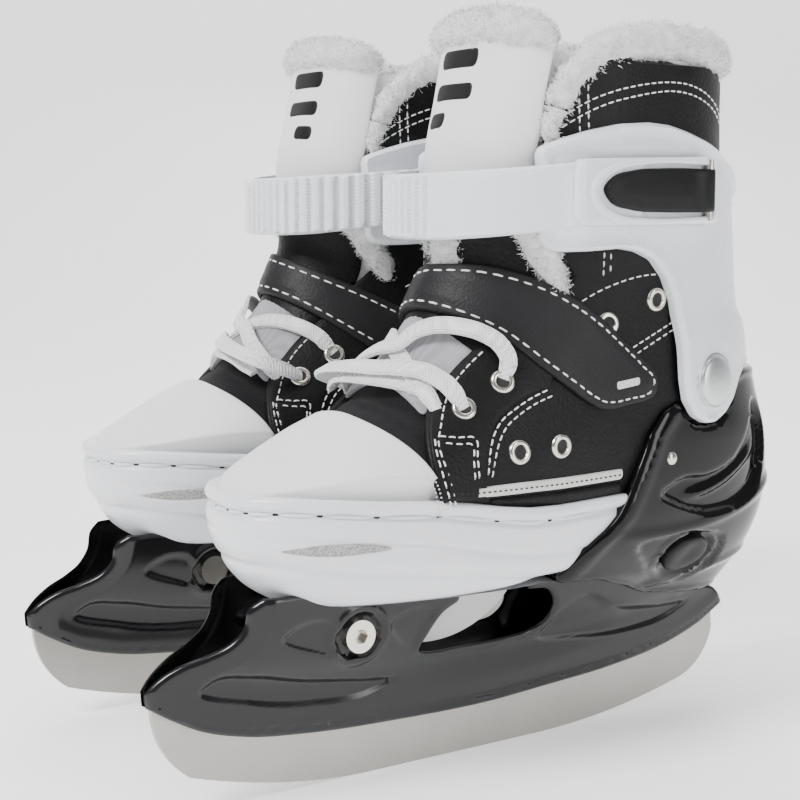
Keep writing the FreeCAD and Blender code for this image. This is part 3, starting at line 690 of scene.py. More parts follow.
FUR = material("white_fleece", (0.90, 0.90, 0.89), 1.0, sheen=0.7, build=fleece)
GREY_PLASTIC = material("grey_slider_plastic", (0.50, 0.50, 0.50), 0.5,
                        build=plastic((0.55, 0.55, 0.55), (0.45, 0.45, 0.46), 0.42, 0.6))
# Grey of the mesh inlay; the same material paints the shade line in the toe shell's groove.
GRILLE = material("grey_mesh_inlay_and_painted_groove_shade", (0.30, 0.30, 0.29), 0.6, build=grille)
# Near-black colour; on the eyelet discs and the toe shell's needle-hole dots it is painted shade of the
# holes.
HOLE = material("dark_hole", (0.01, 0.01, 0.01), 0.8,
                build=plastic((0.01, 0.01, 0.01), (0.02, 0.02, 0.02), 0.7, 0.9))
INSOLE = material("insole_cloth", (0.25, 0.25, 0.26), 0.9, sheen=0.3,
                  build=woven((0.3, 0.3, 0.31), (0.2, 0.2, 0.21), 0.001, 0.0002))


# ---------------------------------------------------------------- the boot form

RINGS = np.array([
    # top y, top z, bottom y, bottom z, half width, power above, power below
    (-109.5, 103, -109.5, 97, 5, 2.0, 2.0),
    (-106, 112, -104, 88, 21, 2.0, 2.3),
    (-95, 122, -92, 82, 34, 2.0, 2.5),
    (-79, 131, -76, 80, 42, 2.0, 2.6),
    (-64, 139.5, -58, 79, 45, 2.0, 2.8),
    (-51, 146.5, -40, 79, 46, 1.9, 2.8),
    (-40, 153, -20, 79, 46, 1.75, 2.8),
    (-31, 161, 0, 79, 46, 1.65, 2.8),
    (-23, 171, 25, 80, 45.5, 1.65, 2.8),
    (-17, 182, 55, 80, 45, 1.7, 2.8),
    (-12, 193, 95, 82, 44, 1.8, 2.6),
    (-10, 204, 138, 97, 43, 1.9, 2.4),
    (-9, 216, 147, 122, 42, 2.1, 2.3),
    (-8, 228, 138, 150, 42, 2.3, 2.3),
    (-6, 239, 126, 180, 42.5, 2.4, 2.3),
    (-3, 251, 121, 210, 43, 2.4, 2.3),
    (0, 263, 119, 240, 43.5, 2.4, 2.3),
    (4, 277, 118, 272, 44, 2.4, 2.3),
])
STATION = np.arange(len(RINGS))


def boot(s, phi, h=0.0):
    """Point on the boot: s runs from toe to collar, phi goes round from the instep (0)."""
    s, phi, h = np.broadcast_arrays(np.asarray(s, float), np.asarray(phi, float), np.asarray(h, float))

    def raw(s, phi):
        v = hermite(STATION, RINGS, s)
        c, q = np.cos(phi), np.sin(phi)
        p = np.where(c > 0, v[..., 5], v[..., 6])
        r = (np.abs(c) ** p + np.abs(q) ** p) ** (-1.0 / p)
        mid_y, mid_z = (v[..., 0] + v[..., 2]) / 2, (v[..., 1] + v[..., 3]) / 2
        half_y, half_z = (v[..., 0] - v[..., 2]) / 2, (v[..., 1] - v[..., 3]) / 2
        return np.stack((v[..., 4] * q * r, mid_y + half_y * c * r, mid_z + half_z * c * r), -1)

    ds = raw(np.clip(s + 0.02, 0, 17), phi) - raw(np.clip(s - 0.02, 0, 17), phi)
    dp = raw(s, phi + 0.01) - raw(s, phi - 0.01)
    return raw(s, phi) + unit(np.cross(ds, dp)) * -h[..., None]


def grid_faces(rows, cols, wrap=False, flip=False):
    """Quads between the rows of a grid of points."""
    faces = []
    for i in range(rows - 1):
        for k in range(cols if wrap else cols - 1):
            a, b = i * cols + k, i * cols + (k + 1) % cols
            f = (a, b, b + cols, a + cols)
            faces.append(f[::-1] if flip else f)
    return faces


def patch(s_values, phi_values, height):
    """Grid on the boot form. height may be a number or a function of (s, phi)."""
    s, p = np.meshgrid(s_values, phi_values, indexing="ij")
    h = height(s, p) if callable(height) else height + 0 * s
    return boot(s, p, h).reshape(-1, 3), grid_faces(len(s_values), len(phi_values))


form_s, form_p = np.linspace(0, 17, 240), np.linspace(-math.pi, math.pi, 160)
form_v, form_f = patch(form_s, form_p, 0.0)
BOOT_TREE = BVHTree.FromPolygons([tuple(p) for p in form_v], form_f)


def boot_side():
    """Half width of the boot over a (y, z) grid, eased off past its outline."""
    step, y0, z0 = 1.0, -116.0, 74.0
    ny, nz = 280, 226
    w = np.full((ny, nz), np.nan)
    for i in range(ny):
        for j in range(nz):
            hit, _, _, _ = BOOT_TREE.ray_cast(Vector((90, y0 + i * step, z0 + j * step)), Vector((-1, 0, 0)))
            if hit is not None and hit.x > 0:
                w[i, j] = hit.x
    known = ~np.isnan(w)
    fill = np.where(known, w, 4.0)
    for _ in range(3):
        pad = np.pad(fill, 1, mode="edge")
        mean = (pad[:-2, 1:-1] + pad[2:, 1:-1] + pad[1:-1, :-2] + pad[1:-1, 2:] + 4 * pad[1:-1, 1:-1]) / 8
        fill = np.where(known, mean, fill)
    return Side(fill, step, y0, z0)


OUTER = boot_side()
INNER = OUTER.far()


# ---------------------------------------------------------------- blade holder and blade

def flat_solid(outline, width, edge, grid, dent):
    """Solid with the same rounded face on both sides; width is a function of (y, z)."""
    class Half:
        def __call__(self, a, b, h):
            a, b, h = np.broadcast_arrays(a, b, h)
            return np.stack((np.maximum(width(a, b) + h, 0.0), a, b), -1)

    half = panel(Half(), outline, thick=edge, edge=edge, grid=grid, lift=-edge, dent=dent, skirt=0.0)
    return join([half, mirrored(half)])


HOLDER_FOOT = [(-135.4, 42.2), (-126.5, 36.8), (-114.9, 30.6), (-97, 25.3), (-72, 22), (-32, 19.9),
               (11, 19.4), (41.7, 21.2), (74, 23.5), (108, 29.1), (125.5, 35), (139.4, 42.6)]
HOLDER_TOP = [(139.4, 43.4), (134.5, 50), (118, 53.5), (98, 56.5), (78.4, 61.5), (60, 69), (43, 74.5),
              (21, 75)]
HOLDER_NOSE = [(-96, 80), (-100.6, 76.5), (-102.5, 69), (-107, 63.8), (-114.5, 60), (-124, 56.6),
               (-131.7, 51.8), (-135.8, 47.6)]
WINDOW = [(-12.3, 67.7), (-20, 63.5), (-24.6, 57), (-27, 48.6), (-24, 47.9), (-6, 47.6), (16, 48),
          (27, 49.6), (33.4, 54), (34.9, 58.5), (31.6, 65.4), (21, 67.6)]


def foot_height(y):
    """Lower edge of the holder, where the blade leaves it."""
    return np.interp(y, [p[0] for p in HOLDER_FOOT], [p[1] for p in HOLDER_FOOT])


def holder_width(y, z):
    """Half thickness of the holder, thin at the blade, the nose and the tail."""
    y, z = np.asarray(y, float), np.asarray(z, float)
    up = z - foot_height(y)
    rise = hermite([0, 4, 12, 20, 30, 40, 55], [6.4, 7.2, 7.4, 9.5, 15.0, 18.5, 20.5], np.clip(up, 0, 55))
    nose = hermite([-136, -128, -116, -104, -90], [3.4, 6.0, 10.0, 15.0, 22.0], np.clip(y, -136, -90))
    tail = hermite([100, 125, 140], [22.0, 12.0, 7.5], np.clip(y, 100, 140))
    return np.minimum(np.minimum(rise, nose), tail)


def leaf(y, z, points, depth, soft=2.5):
    """Sunken recess inside a smooth closed outline."""
    out = spline(points, 1.5, True)
    p = np.column_stack((np.ravel(y), np.ravel(z)))
    d = edge_distance(out, p) * np.where(inside(out, p), 1.0, -1.0)
    return -depth * smooth(d / soft).reshape(np.shape(y))


def holder_dent(y, z, dist):
    """Recesses and steps on the side of the blade holder."""
    front = leaf(y, z, [(-118, 47), (-96, 37.5), (-70, 33), (-44, 33.5), (-33, 38), (-52, 41.5), (-78, 46),
                        (-98, 51), (-112, 51.5)], 1.6)
    under = leaf(y, z, [(-90, 64), (-76, 56), (-66, 54), (-64, 60), (-68, 68), (-80, 70)], 1.6)
    rear = leaf(y, z, [(30, 45), (52, 40), (80, 38), (108, 42), (118, 47), (96, 49), (70, 54), (50, 62),
                       (41, 58)], 1.5)
    slit = leaf(y, z, [(-44, 64), (-36, 52), (-30, 50), (-27, 58), (-22, 66), (-34, 69)], 1.3)
    bolt = np.hypot(y - BOLT[0], z - BOLT[1])
    ring = 1.2 * bell(bolt - 11.2, 1.6) - 2.6 * smooth((9.6 - bolt) / 1.2)
    cut = -1.2 * smooth((3.0 - np.abs(y - BOLT[0] - 8.5)) / 1.5)
    cut = cut * smooth((z - 56.0) / 3.0) * smooth((bolt - 8.0) / 2.0)
    rib = -0.7 * bell(z - foot_height(y) - 3.2, 0.5)
    return front + under + rear + slit + ring + cut * 0.5 + rib


holder_outline = np.vstack((
    spline(HOLDER_FOOT, 1.3), spline(HOLDER_TOP, 1.3),
    resample([(21, 75.0), (21.0, 67.6)], 1.2)[1:-1], spline(WINDOW, 1.2)[::-1],
    resample([(-12.3, 67.7), (-12.3, 80)],
             1.2)[1:-1], resample([(-12.3, 80), (-96, 80)], 2)[:-1], spline(HOLDER_NOSE, 1.4)))
emit("holder_body", flat_solid(holder_outline, holder_width, edge=1.8, grid=1.3, dent=holder_dent),
     HOLDER_BLACK, "skates", ("blade_holder",), sharp=50)

for side, _ in SIDES:
    for name, mat in (("blade", STEEL), ("toe_bolt", NICKEL), ("blade_screws", NICKEL),
                      ("toe_keel", GREY_PLASTIC),
                      ("size_rack", GREY_PLASTIC), ("button_spring", NICKEL), ("lever_pin", NICKEL),
                      ("insole", INSOLE)):
        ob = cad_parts[side + "_" + name]
        ob.data.materials.clear()
        ob.data.materials.append(mat)


# ---------------------------------------------------------------- heel shell

HEEL = Drum([(50, 60, 129, 10), (55, 40, 134, 16), (62, 0, 140, 23), (74, -60, 146, 36),
             (86, -80, 150, 43.6), (97, -80, 151.8, 46.8), (110, -80, 152, 47.6), (124, -80, 150.6, 47.4),
             (138.0, -80.0, 146.0, 47.0), (162.0, -80.0, 138.0, 46.6)], 2.6)
heel_upper = [(21, 74), (24, 79), (30.3, 87.4), (38, 94), (43.5, 100), (48.5, 109), (52.5, 117.5),
              (58.5, 130), (66, 138.5), (76, 143), (84, 144), (92, 143), (100, 146), (108, 150.5),
              (118, 152), (130, 151.5)]
heel_lower = [(24, 73.2), (43, 72), (60, 66.5), (78.4, 59), (100, 54.8), (118, 52.5)]


def heel_dent(a, b, dist):
    """Relief of the heel shell."""
    y = HEEL.point(np.where(a > REAR, 2 * REAR - a, a), b)[..., 1]
    swoosh = leaf(y, b, [(64, 106), (78, 98), (98, 94), (118, 96), (132, 104), (138, 118), (135, 134),
                         (127, 139), (121, 127), (110, 117), (92, 112), (76, 112)], 3.4, 2.6)
    blade = 1.6 * bell(b - 103.0 - 0.006 * np.clip(y - 78.0, 0, 60) ** 2,
                       2.0) * smooth((y - 76) / 14.0) * smooth((134 - y) / 12.0)
    swoosh = swoosh + blade
    lower = leaf(y, b, [(56, 85), (66, 74), (84, 64.5), (104, 64.5), (113, 73), (110, 82), (94, 88),
                        (74, 89)], 1.8, 1.8)
    press = np.hypot((y - BUTTON[0]) / 14.0, (b - BUTTON[1]) / 9.4)
    lower = lower - 1.6 * smooth((1.12 - press) / 0.1) + 0.9 * bell(press - 1.22, 0.09)
    ridge = 1.3 * bell(b - (88 + 0.10 * (y - 60) + 0.0022 * (y - 90) ** 2), 2.4) * smooth((y - 40) / 20.0)
    lip = 0.8 * bell(dist - 2.2, 1.2)
    lug = leaf(y, b, [(73, 150), (75, 137), (83, 131.5), (92, 130), (100, 132), (106, 140), (108, 152),
                      (90, 158)], 2.6, 1.6)
    rear = 1.0 * bell(b - 62 - 0.12 * (y - 60), 2.0) * smooth((y - 70) / 10.0)
    return swoosh + lower + ridge + lip + lug + rear


heel_line = np.array(HEEL.wrap(heel_upper, heel_lower))
heel_line = resample(np.vstack((heel_line, heel_line[:1])), 1.2, True)
emit("heel_shell_body", panel(HEEL, heel_line, thick=1.2, edge=1.4, grid=1.3, lift=-0.6, dent=heel_dent,
                              skirt=5.0), GLOSS_BLACK, "skates", ("heel_shell",), sharp=50)

turn = np.linspace(0, 2 * math.pi, 60, endpoint=False)
button_edge = np.column_stack((np.cos(turn), np.sin(turn))) * BUTTON_SIZE + BUTTON
press_line = np.array(HEEL.outline(button_edge))
emit("size_button_cap", panel(HEEL, press_line, thick=1.4, edge=1.5, grid=1.4, lift=-1.2,
                              dent=lambda a, b, d: -0.8 * smooth((d - 2.0) / 4.0), skirt=5.0), LEVER_BLACK,
     "{}_size_button", ("lock_button",), sharp=50)

RIVET_PROFILE = [(0, 1.5), (1.2, 1.45), (2.2, 1.1), (2.7, 0.5), (2.9, -0.6)]
emit("small_rivet_heads", turned_pair(HEEL, SMALL_RIVET, 0.0, RIVET_PROFILE, 24), NICKEL, "skates")


# ---------------------------------------------------------------- toe shell

def toe_pinch(y):
    """Narrowing of the toe shell towards the rear."""
    return 1.0 - 0.062 * smooth((np.asarray(y, float) + 2.0) / 30.0)


class ToeDrum(Drum):
    """The toe shell grows narrower towards the rear, where it slides inside the heel shell."""

    def point(self, a, b, grow=0.0):
        p = Drum.point(self, a, b, grow)
        p[..., 0] = p[..., 0] * toe_pinch(p[..., 1])
        return p


TOE = ToeDrum([(72.3, -76, 150, 30), (75, -83.5, 150, 35.5), (79, -90.5, 150, 39.5), (85, -96.5, 150, 43.2),
               (92, -100.6, 150, 46), (99, -103.4, 150, 47.6), (104, -104.8, 150, 48.2),
               (110, -104.8, 150, 47.8), (116, -103.6, 150, 47), (123, -101.6, 150, 45.6)], 2.5)
TOE_RIM = [(-111, 116.4), (-103, 116.8), (-95, 117.2), (-88, 117), (-75, 116.2), (-62.7, 115.2),
           (-40, 113.8), (-27, 112), (-14, 109.6), (0, 107.6), (14, 107), (40, 107.6), (52, 107.6)]


def rim_height(y):
    """Height of the shell's upper rim."""
    return np.interp(y, [p[0] for p in TOE_RIM], [p[1] for p in TOE_RIM])


def toe_dent(a, b, dist):
    """Relief of the toe shell."""
    y = TOE.point(a, b)[..., 1]
    down = rim_height(y) - b
    lip = 1.5 * np.exp(-(np.abs(down - 1.8) / 2.4) ** 3)
    groove = -2.0 * bell(down - 5.9, 1.1)
    fade = smooth((y + 118) / 30.0)
    crease = -0.8 * bell(down - 15.5 - 0.05 * (y + 60), 1.1) * fade
    swell = 0.9 * bell(down - 20.5 - 0.05 * (y + 60), 3.4) * fade
    step = -0.9 * bell(down - 27.0 - 0.04 * (y + 60), 1.3)
    pod = leaf(y, b, [(-95, 98.6), (-84, 100.6), (-70, 100.4), (-56, 98.2), (-68, 96.2), (-84, 96)], 1, 1.4)
    return lip + groove + crease + swell + step + pod


TOE_LOW = [(-60, 72.6), (-27, 72.8), (-5, 74.4), (10, 76.5), (26, 78), (52, 80)]


def toe_outline():
    """Flat outline of the toe shell, from the front middle back along the rim, down and forward again."""
    upper = [(FRONT, 116.5)] + TOE.outline([(y, z) for y, z in TOE_RIM if y > -102])
    lower = [(FRONT, 72.6)] + TOE.outline(TOE_LOW)
    line = upper + lower[::-1] + far_side(lower, FRONT)[1:] + far_side(upper, FRONT)[::-1][:-1]
    return resample(np.vstack((line, line[:1])), 1.2, True)


def toe_floor():
    """Bottom of the toe shell, drawn in to the middle line, seen from both sides."""
    end = TOE.side(52, 79)
    edge = TOE.point(np.linspace(2 * FRONT - end, end, 90), np.full(90, 74.5), -1.0)
    levels = ((1, 73.4), (0.7, 72.9), (0.35, 72.7), (0, 72.6))
    rows = [np.column_stack((edge[:, 0] * k, edge[:, 1], np.full(90, z))) for k, z in levels]
    floor = (np.vstack(rows), grid_faces(4, 90))
    return [floor, flipped(floor)]


shell = panel(TOE, toe_outline(), thick=1.6, edge=2.2, grid=0.9, lift=-1.0, dent=toe_dent, skirt=4.0)
emit("toe_shell_body", join([shell] + toe_floor()), TOE_WHITE, "{}_toe_slider",
     ("toe_shell",), sharp=50)

GROOVE_DROP = 5.9
LONG_STITCH = 9.6


def groove_line():
    """Flat path of the sewn groove, round the shell below its rim."""
    side = [(y, float(rim_height(y)) - GROOVE_DROP) for y in np.arange(-101.0, 36, 1.5)]
    half = [(FRONT, 110.7)] + TOE.outline(side)
    return resample(np.vstack((far_side(half[1:], FRONT)[::-1], half)), 0.5)


def groove_sewing(path):
    """Long raised stitches along the groove, and dark dots of painted shade for the needle holes between
    them.
    """
    d = lengths(path)
    n = int(d[-1] / LONG_STITCH)
    sunk = np.array([-2.2, -1.0, -0.5, -0.4, -0.4, -0.4, -0.5, -1.0, -2.2])
    bars, dots = [], []
    for i in range(n):
        q = along(path, d, (i + 0.5) * d[-1] / n + np.linspace(-4.0, 4.0, 9))
        bars.append(tube(TOE(q[:, 0], q[:, 1], sunk), 0.75, sides=8))
        a, b = along(path, d, np.array([i * d[-1] / n])).T
        hole = [(0, 0.5), (0.95, 0.45), (1.25, 0.2), (1.3, -0.6)]
        # Dark dot at the needle hole: painted shade.
        dots.append(lathe(hole, TOE(a, b, np.array([-1.5]))[0], TOE.normal(a, b)[0], 12))
    return join(bars), join(dots)


groove = groove_line()
sewn, needle_holes = groove_sewing(groove)
# Thin grey tube laid in the groove above the thread: painted shade of the sewn groove.
shade = tube(TOE(groove[:, 0], groove[:, 1] + 1.15, np.full(len(groove), -1.0)), 0.42, sides=6)
emit("toe_shell_thread", sewn, TOE_WHITE, "{}_toe_slider")
# The near-black needle-hole dots are painted shade.
emit("toe_shell_holes", needle_holes, HOLE, "{}_toe_slider")
emit("toe_shell_groove_painted_shade", shade, GRILLE, "{}_toe_slider")

pod = spline([(-93.5, 98.2), (-88, 100), (-78, 100.7), (-68, 100.1), (-57, 98.2), (-68, 96.5), (-82, 96.3)],
             1.2, True)
pods = (TOE.outline(pod), far_side(TOE.outline(pod), FRONT))
emit("toe_shell_inlay", join([panel(TOE, line, thick=0.5, edge=0.8, grid=1.5, lift=0.6,
                                    skirt=3.0) for line in pods]), GRILLE, "{}_toe_slider")


# ---------------------------------------------------------------- toe cap and vamp

CAP_END = 4.85


def cap_height(s, p):
    """Thickness of the cap leather, rounded off at its rear edge and turned under."""
    k = np.clip((CAP_END - s) / 0.10, 0, 1)
    return 0.4 + 1.3 * np.sqrt(np.clip(1 - (1 - k) ** 2, 0, 1)) - 1.6 * (s > CAP_END - 0.001)


def tuck(v, clear):
    """Draws points inside the rim of the toe shell where they are level with it or lower."""
    v = v.copy()
    rest = hermite(TOE.z, TOE.rest, np.clip(v[:, 2], TOE.z[0], 116.0))
    mid, half_y = (rest[:, 0] + rest[:, 1]) / 2, (rest[:, 1] - rest[:, 0]) / 2 - clear
    half_x = (rest[:, 2] - clear) * toe_pinch(v[:, 1])
    r = np.abs(v[:, 0] / half_x) ** TOE.power + np.abs((v[:, 1] - mid) / half_y) ** TOE.power
    r = r ** (1 / TOE.power)
    free = 1.0 + 0.35 * np.clip((v[:, 2] - rim_height(v[:, 1])) / 22.0, 0, 1) ** 1.3
    k = np.where(r > free, free / r, 1.0)
    v[:, 0] *= k
    v[:, 1] = mid + (v[:, 1] - mid) * k
    return v


def cap_stretch(s, p):
    """The rear edge of the cap lies further back at the sides than at the top."""
    return s + 0.62 * smooth((np.abs(p) - 0.15) / 1.3) * np.clip(s / CAP_END, 0, 1) ** 2


def blunt(v):
    """Pulls the front of the cap back and lowers its top."""
    v = v.copy()
    ahead = np.clip(-62.0 - v[:, 1], 0, None)
    v[:, 1] += 0.105 * ahead
    high = np.clip(v[:, 2] - 118.0, 0, None)
    v[:, 2] -= 0.16 * high * smooth((-30.0 - v[:, 1]) / 12.0)
    return v


def toe_cap():
    """Grid over the front of the boot, closed at the tip, down to just inside the shell's rim."""
    turned_edge = CAP_END - 0.12 * (1 - np.linspace(0.15, 1, 8) ** 0.6)
    stations = np.concatenate((np.linspace(0, CAP_END - 0.12, 60), turned_edge, [CAP_END + 0.0005]))
    cols = 150
    s, p = np.meshgrid(stations, np.linspace(-2.3, 2.3, cols), indexing="ij")
    v = boot(cap_stretch(s, p), p, cap_height(s, p)).reshape(-1, 3)
    v = np.vstack((v, np.mean(v[:cols], axis=0)))
    f = grid_faces(len(stations), cols) + [(k + 1, k, len(v) - 1) for k in range(cols - 1)]
    v = tuck(blunt(v), 3.2)
    shown = v[:, 2] > rim_height(v[:, 1]) - 3.0
    return v, [g for g in f if any(shown[k] for k in g)]


def cap_perforations():
    """Two rows of pricked dots along the cap's rear edge; their grey is painted shade of the pricked holes.
    """
    dots = []
    for row, s in enumerate((CAP_END - 0.10, CAP_END - 0.19)):
        for p in np.arange(-1.75, 1.75, 0.042) + row * 0.021:
            foot, tip = (blunt(boot([cap_stretch(s, p)], [p], [h]))[0] for h in (1.66, 2.66))
            # Grey disc for each pricked hole: painted shade.
            dots.append(lathe([(0, 0.05), (0.28, 0.04), (0.36, -0.1)], foot, tip - foot, 8))
    return join(dots)


emit("toe_cap_leather", toe_cap(), WHITE_LEATHER, "{}_toe_slider", ("toe_cap",), sharp=60)
emit("toe_cap_perforations", cap_perforations(), PIPING_WHITE, "{}_toe_slider")


def vamp_height(s, p):
    """The vamp lies a little low and has one soft crease across the toes."""
    fold = 1.1 * bell(s - 5.55 - 0.35 * np.abs(p), 0.16) - 0.9 * bell(s - 5.95 - 0.3 * np.abs(p), 0.14)
    return -1.2 + fold * bell(p, 0.9)


vamp, faces = patch(np.linspace(4.4, 7.6, 60), np.linspace(-1.6, 1.6, 90), vamp_height)
emit("vamp_cloth", (tuck(blunt(vamp), 4.6), faces), DARK_CLOTH, "skates", ("gusset",))


# ---------------------------------------------------------------- leather quarters and facings

def both(mapper_outline, **kw):
    """The same panel on the outer and the inner side of the boot."""
    return [panel(OUTER, mapper_outline, **kw), panel(INNER, mapper_outline, **kw)]


throat = [(-37.6, 112), (-41.2, 122), (-41.3, 128.5), (-39.6, 134.8), (-34.7, 143.5), (-26.8, 151.7),
          (-18.2, 159.8), (-10.4, 166.3), (-3, 173), (6, 181), (16, 190)]
quarter = spline(throat, 1.2).tolist()
quarter += spline([(16, 190), (23, 187), (27, 192), (21, 200), (16, 212), (13.5, 228), (13.8, 242),
                   (14.4, 251.2), (18.5, 260.1), (26.9, 269), (38, 274.2), (52, 277.6), (70, 278.8),
                   (88, 277.5), (100, 274.5)], 1.4)[1:].tolist()
quarter += [(103, 268), (112, 225), (117, 190), (122, 150), (118, 118), (90, 103), (40, 103), (-8, 107),
            (-20, 110.6), (-36.6, 113.4)]
quarter = resample(np.vstack((quarter, quarter[:1])), 1.6, True)
quarters = join(both(quarter, thick=1.3, edge=1.3, grid=2.2, lift=-0.5, skirt=2.0))
SPLIT = ("skates", "{}_ankle_cuff", (58.0, 150.0), (46.0, 192.0))
emit("quarter_leather", quarters, LEATHER, SPLIT,
     ("upper_outer", "upper_inner", "boot_shaft"))

s_back = hermite([120, 150, 180, 210, 240, 272], [12.0, 13.0, 14.0, 15.0, 16.0, 16.9],
                 np.linspace(120, 270, 60))
sb, pb = np.meshgrid(s_back, np.linspace(math.pi - 1.3, math.pi + 1.3, 70), indexing="ij")
v = boot(sb, pb, np.full(sb.shape, 0.5)).reshape(-1, 3)
emit("heel_counter_leather", (v, grid_faces(60, 70)), LEATHER, SPLIT)

facing = spline([(-37.4, 113.6), (-40.4, 122), (-40.4, 128.5), (-38.7, 134.6), (-33.8, 143), (-26, 151),
                 (-17.4, 159), (-9.4, 165.6), (-2, 172)], 1.2).tolist()
facing += spline([(-2, 172), (8, 170), (16, 160), (13.5, 151.6), (4, 148.4), (-5, 144), (-12, 138.6),
                  (-16.4, 131), (-19.6, 121), (-20.4, 112.6)], 1.2)[1:].tolist()
facing = resample(np.vstack((facing, facing[:1])), 1.2, True)
emit("facing_leather", join(both(facing, thick=1.1, edge=0.9, grid=2.0, lift=0.7, skirt=1.4)), LEATHER,
     "skates")

box_patch = rounded([(-36.8, 114.4), (-37.4, 122), (-36.4, 134.6), (-22.6, 133), (-24.4, 113.2)], 1.2, 1)
emit("facing_box_patch", join(both(box_patch, thick=0.6, edge=0.7, grid=2.0, lift=1.7, skirt=1.2)), LEATHER,
     "skates")

rows = [
    ([(-34.2, 111), (-36.4, 122), (-36.3, 133), (-33.2, 137.6), (-28.6, 144.2), (-23, 151), (-16.2, 157.6),
      (-8.6, 164.2)], 1.85),
    ([(-36.2, 111), (-38.6, 122), (-38.4, 130.5), (-37, 134.6)], 1.85),
    ([(-35.8, 134.8), (-29, 134.2), (-22, 133.6), (-23.4, 127), (-24.2, 120)], 2.35),
    ([(-34.6, 132.6), (-29, 132), (-24, 131.6), (-25.2, 126), (-26, 119.5)], 2.35),
    ([(11.4, 149.9), (4, 147.2), (-3.6, 143.4), (-10, 139.4), (-14.4, 134.6), (-17.4, 129), (-20, 121)],
     1.75),
    ([(13.6, 147.9), (5, 145), (-2.2, 141.4), (-8.2, 137.4), (-12.2, 132.6), (-15.2, 127), (-17.8, 120)],
     0.75),
    ([(30, 182.2), (37, 186), (44, 188.8), (51, 190.8), (58.1, 191.9), (66, 192.1), (73.9, 191.7)], 0.75),
    ([(51.7, 163.9), (65, 170), (79, 176.2)], 0.75),
    ([(53.3, 161.4), (66.6, 167.6), (80, 173.4)], 0.75),
    ([(38.6, 201.5), (38.9, 191.5)], 0.75),
    ([(41.4, 201.5), (41.7, 192.5)], 0.75),
    ([(26.9, 268.6), (26.5, 257), (26.8, 245)], 0.75),
    ([(30.1, 270.6), (29.8, 258), (30.2, 246.4)], 0.75),
    ([(14.6, 246.3), (22, 252.2), (30.2, 257.1), (39, 260.6), (48.5, 263), (58, 264.6), (66.4, 265.3),
      (76, 265), (86, 263), (96, 259), (104, 254)], 0.75),
    ([(14.6, 243), (22, 248.4), (30.2, 253.2), (39, 256.8), (48.6, 259.2), (58, 261), (66.5, 262),
      (76, 261.6), (86, 259.6), (96.2, 255.8), (104, 251)], 0.75),
]
low_rows, high_rows = [], []
for path, lift in rows:
    for mapper in (OUTER, INNER):
        target = high_rows if min(q[1] for q in path) > 160 else low_rows
        target.append(stitches(mapper, spline(path, 0.8), lift))
emit("quarter_stitching", join(low_rows), THREAD, "skates")
emit("shaft_stitching", join(high_rows), THREAD, SPLIT)

piping_top = [(-34, 117.6), (-13.5, 117.4), (15, 117.2), (46, 117.6)]
piping_low = [(46, 113.6), (15, 113), (-13.5, 113.4), (-33.8, 113.9)]
pipe = rounded(piping_top + piping_low, 0.5, 1.2)
emit("piping_band", join(both(pipe, thick=1.1, edge=1.0, grid=1.8, lift=0.9, skirt=1.0)), PIPING_WHITE,
     "skates", ("piping",))
under = rounded([(-19, 112.7), (15, 112), (46, 112.6), (46, 108), (15, 106.8), (-19, 111)], 0.5, 1.4)
emit("piping_under_band", join(both(under, thick=1.4, edge=1.2, grid=2.0, lift=0.8, skirt=1.0)), LEATHER,
     "skates")
row = [(-33, 115.8), (-13.5, 115.4), (15, 115.1), (45, 115.6)]
emit("piping_stitching", join([stitches(m, spline(row, 0.8), 2.0, 1.1, 1.3, 0.3) for m in (OUTER, INNER)]),
     HOLE, "skates")


# ---------------------------------------------------------------- eyelets

def eyelets(places, lift):
    """Eyelet rings on both sides of the boot and the dark discs inside them, painted shade of the holes."""
    rings, holes = [], []
    profile = [(2.35, -0.6), (2.4, 0.4), (2.8, 0.95), (3.5, 1.15), (4.2, 0.95), (4.7, 0.35), (4.8, -0.4)]
    for y, z in places:
        for mapper in (OUTER, INNER):
            a, b = np.array([y]), np.array([z])
            p = mapper(a, b, np.array([lift]))[0]
            n = mapper(a, b, np.array([lift + 1.0]))[0] - p
            rings.append(lathe(profile, p, n, 32))
            # Dark disc filling the ring's opening: painted shade of the hole.
            holes.append(lathe([(0, 0.12), (1.6, 0.12), (2.45, 0.1)], p, n, 20))
    return join(rings), join(holes)


# The eyelet hole discs emitted below are painted shade.
rings, holes = eyelets([(-21.9, 144.1), (-5.5, 153.3)], 1.8)
emit("lace_eyelets", rings, NICKEL, "skates", ("eyelets",))
emit("lace_eyelet_holes", holes, HOLE, "skates")
rings, holes = eyelets([(-4.5, 128.4), (14.8, 129.1)], 0.8)
emit("vent_eyelets", rings, NICKEL, "skates")
emit("vent_holes", holes, HOLE, "skates")
rings, holes = eyelets([(41.0, 173.6), (63.5, 182.3)], 0.8)
emit("quarter_eyelets", rings, NICKEL, SPLIT, ("cuff_studs",))
emit("quarter_eyelet_holes", holes, HOLE, SPLIT)


# ---------------------------------------------------------------- cuff and pivot

CUFF = Drum([(128, -26, 132, 50), (150, -26, 131, 49.8), (164, -24, 130.5, 49), (176, -22, 127.5, 47.6),
             (200, -18, 124.6, 46.6), (225.0, -16.0, 123.0, 46.2), (252.0, -15.0, 121.5, 45.8)], 2.8)
cuff_top = [(6.6, 237), (7.4, 239.6), (11, 241.4), (18, 243.6), (27.4, 246.2), (42, 249), (56, 249.9),
            (66, 249.2), (75.6, 247.1), (88, 243.6), (99, 239.5), (108, 233.5), (115, 226.5)]
cuff_low = [(7.4, 206), (10, 202.6), (16.4, 201.4), (28, 201.6), (42, 202.4), (51, 201.2), (58.6, 198),
            (65, 191), (69.4, 182), (72, 170), (73.2, 160), (73.8, 150.5), (75.6, 142), (80.6, 135.6),
            (87, 132.6), (93, 132.4), (99, 135.2), (104, 141), (108.6, 148.6), (114, 153.6)]


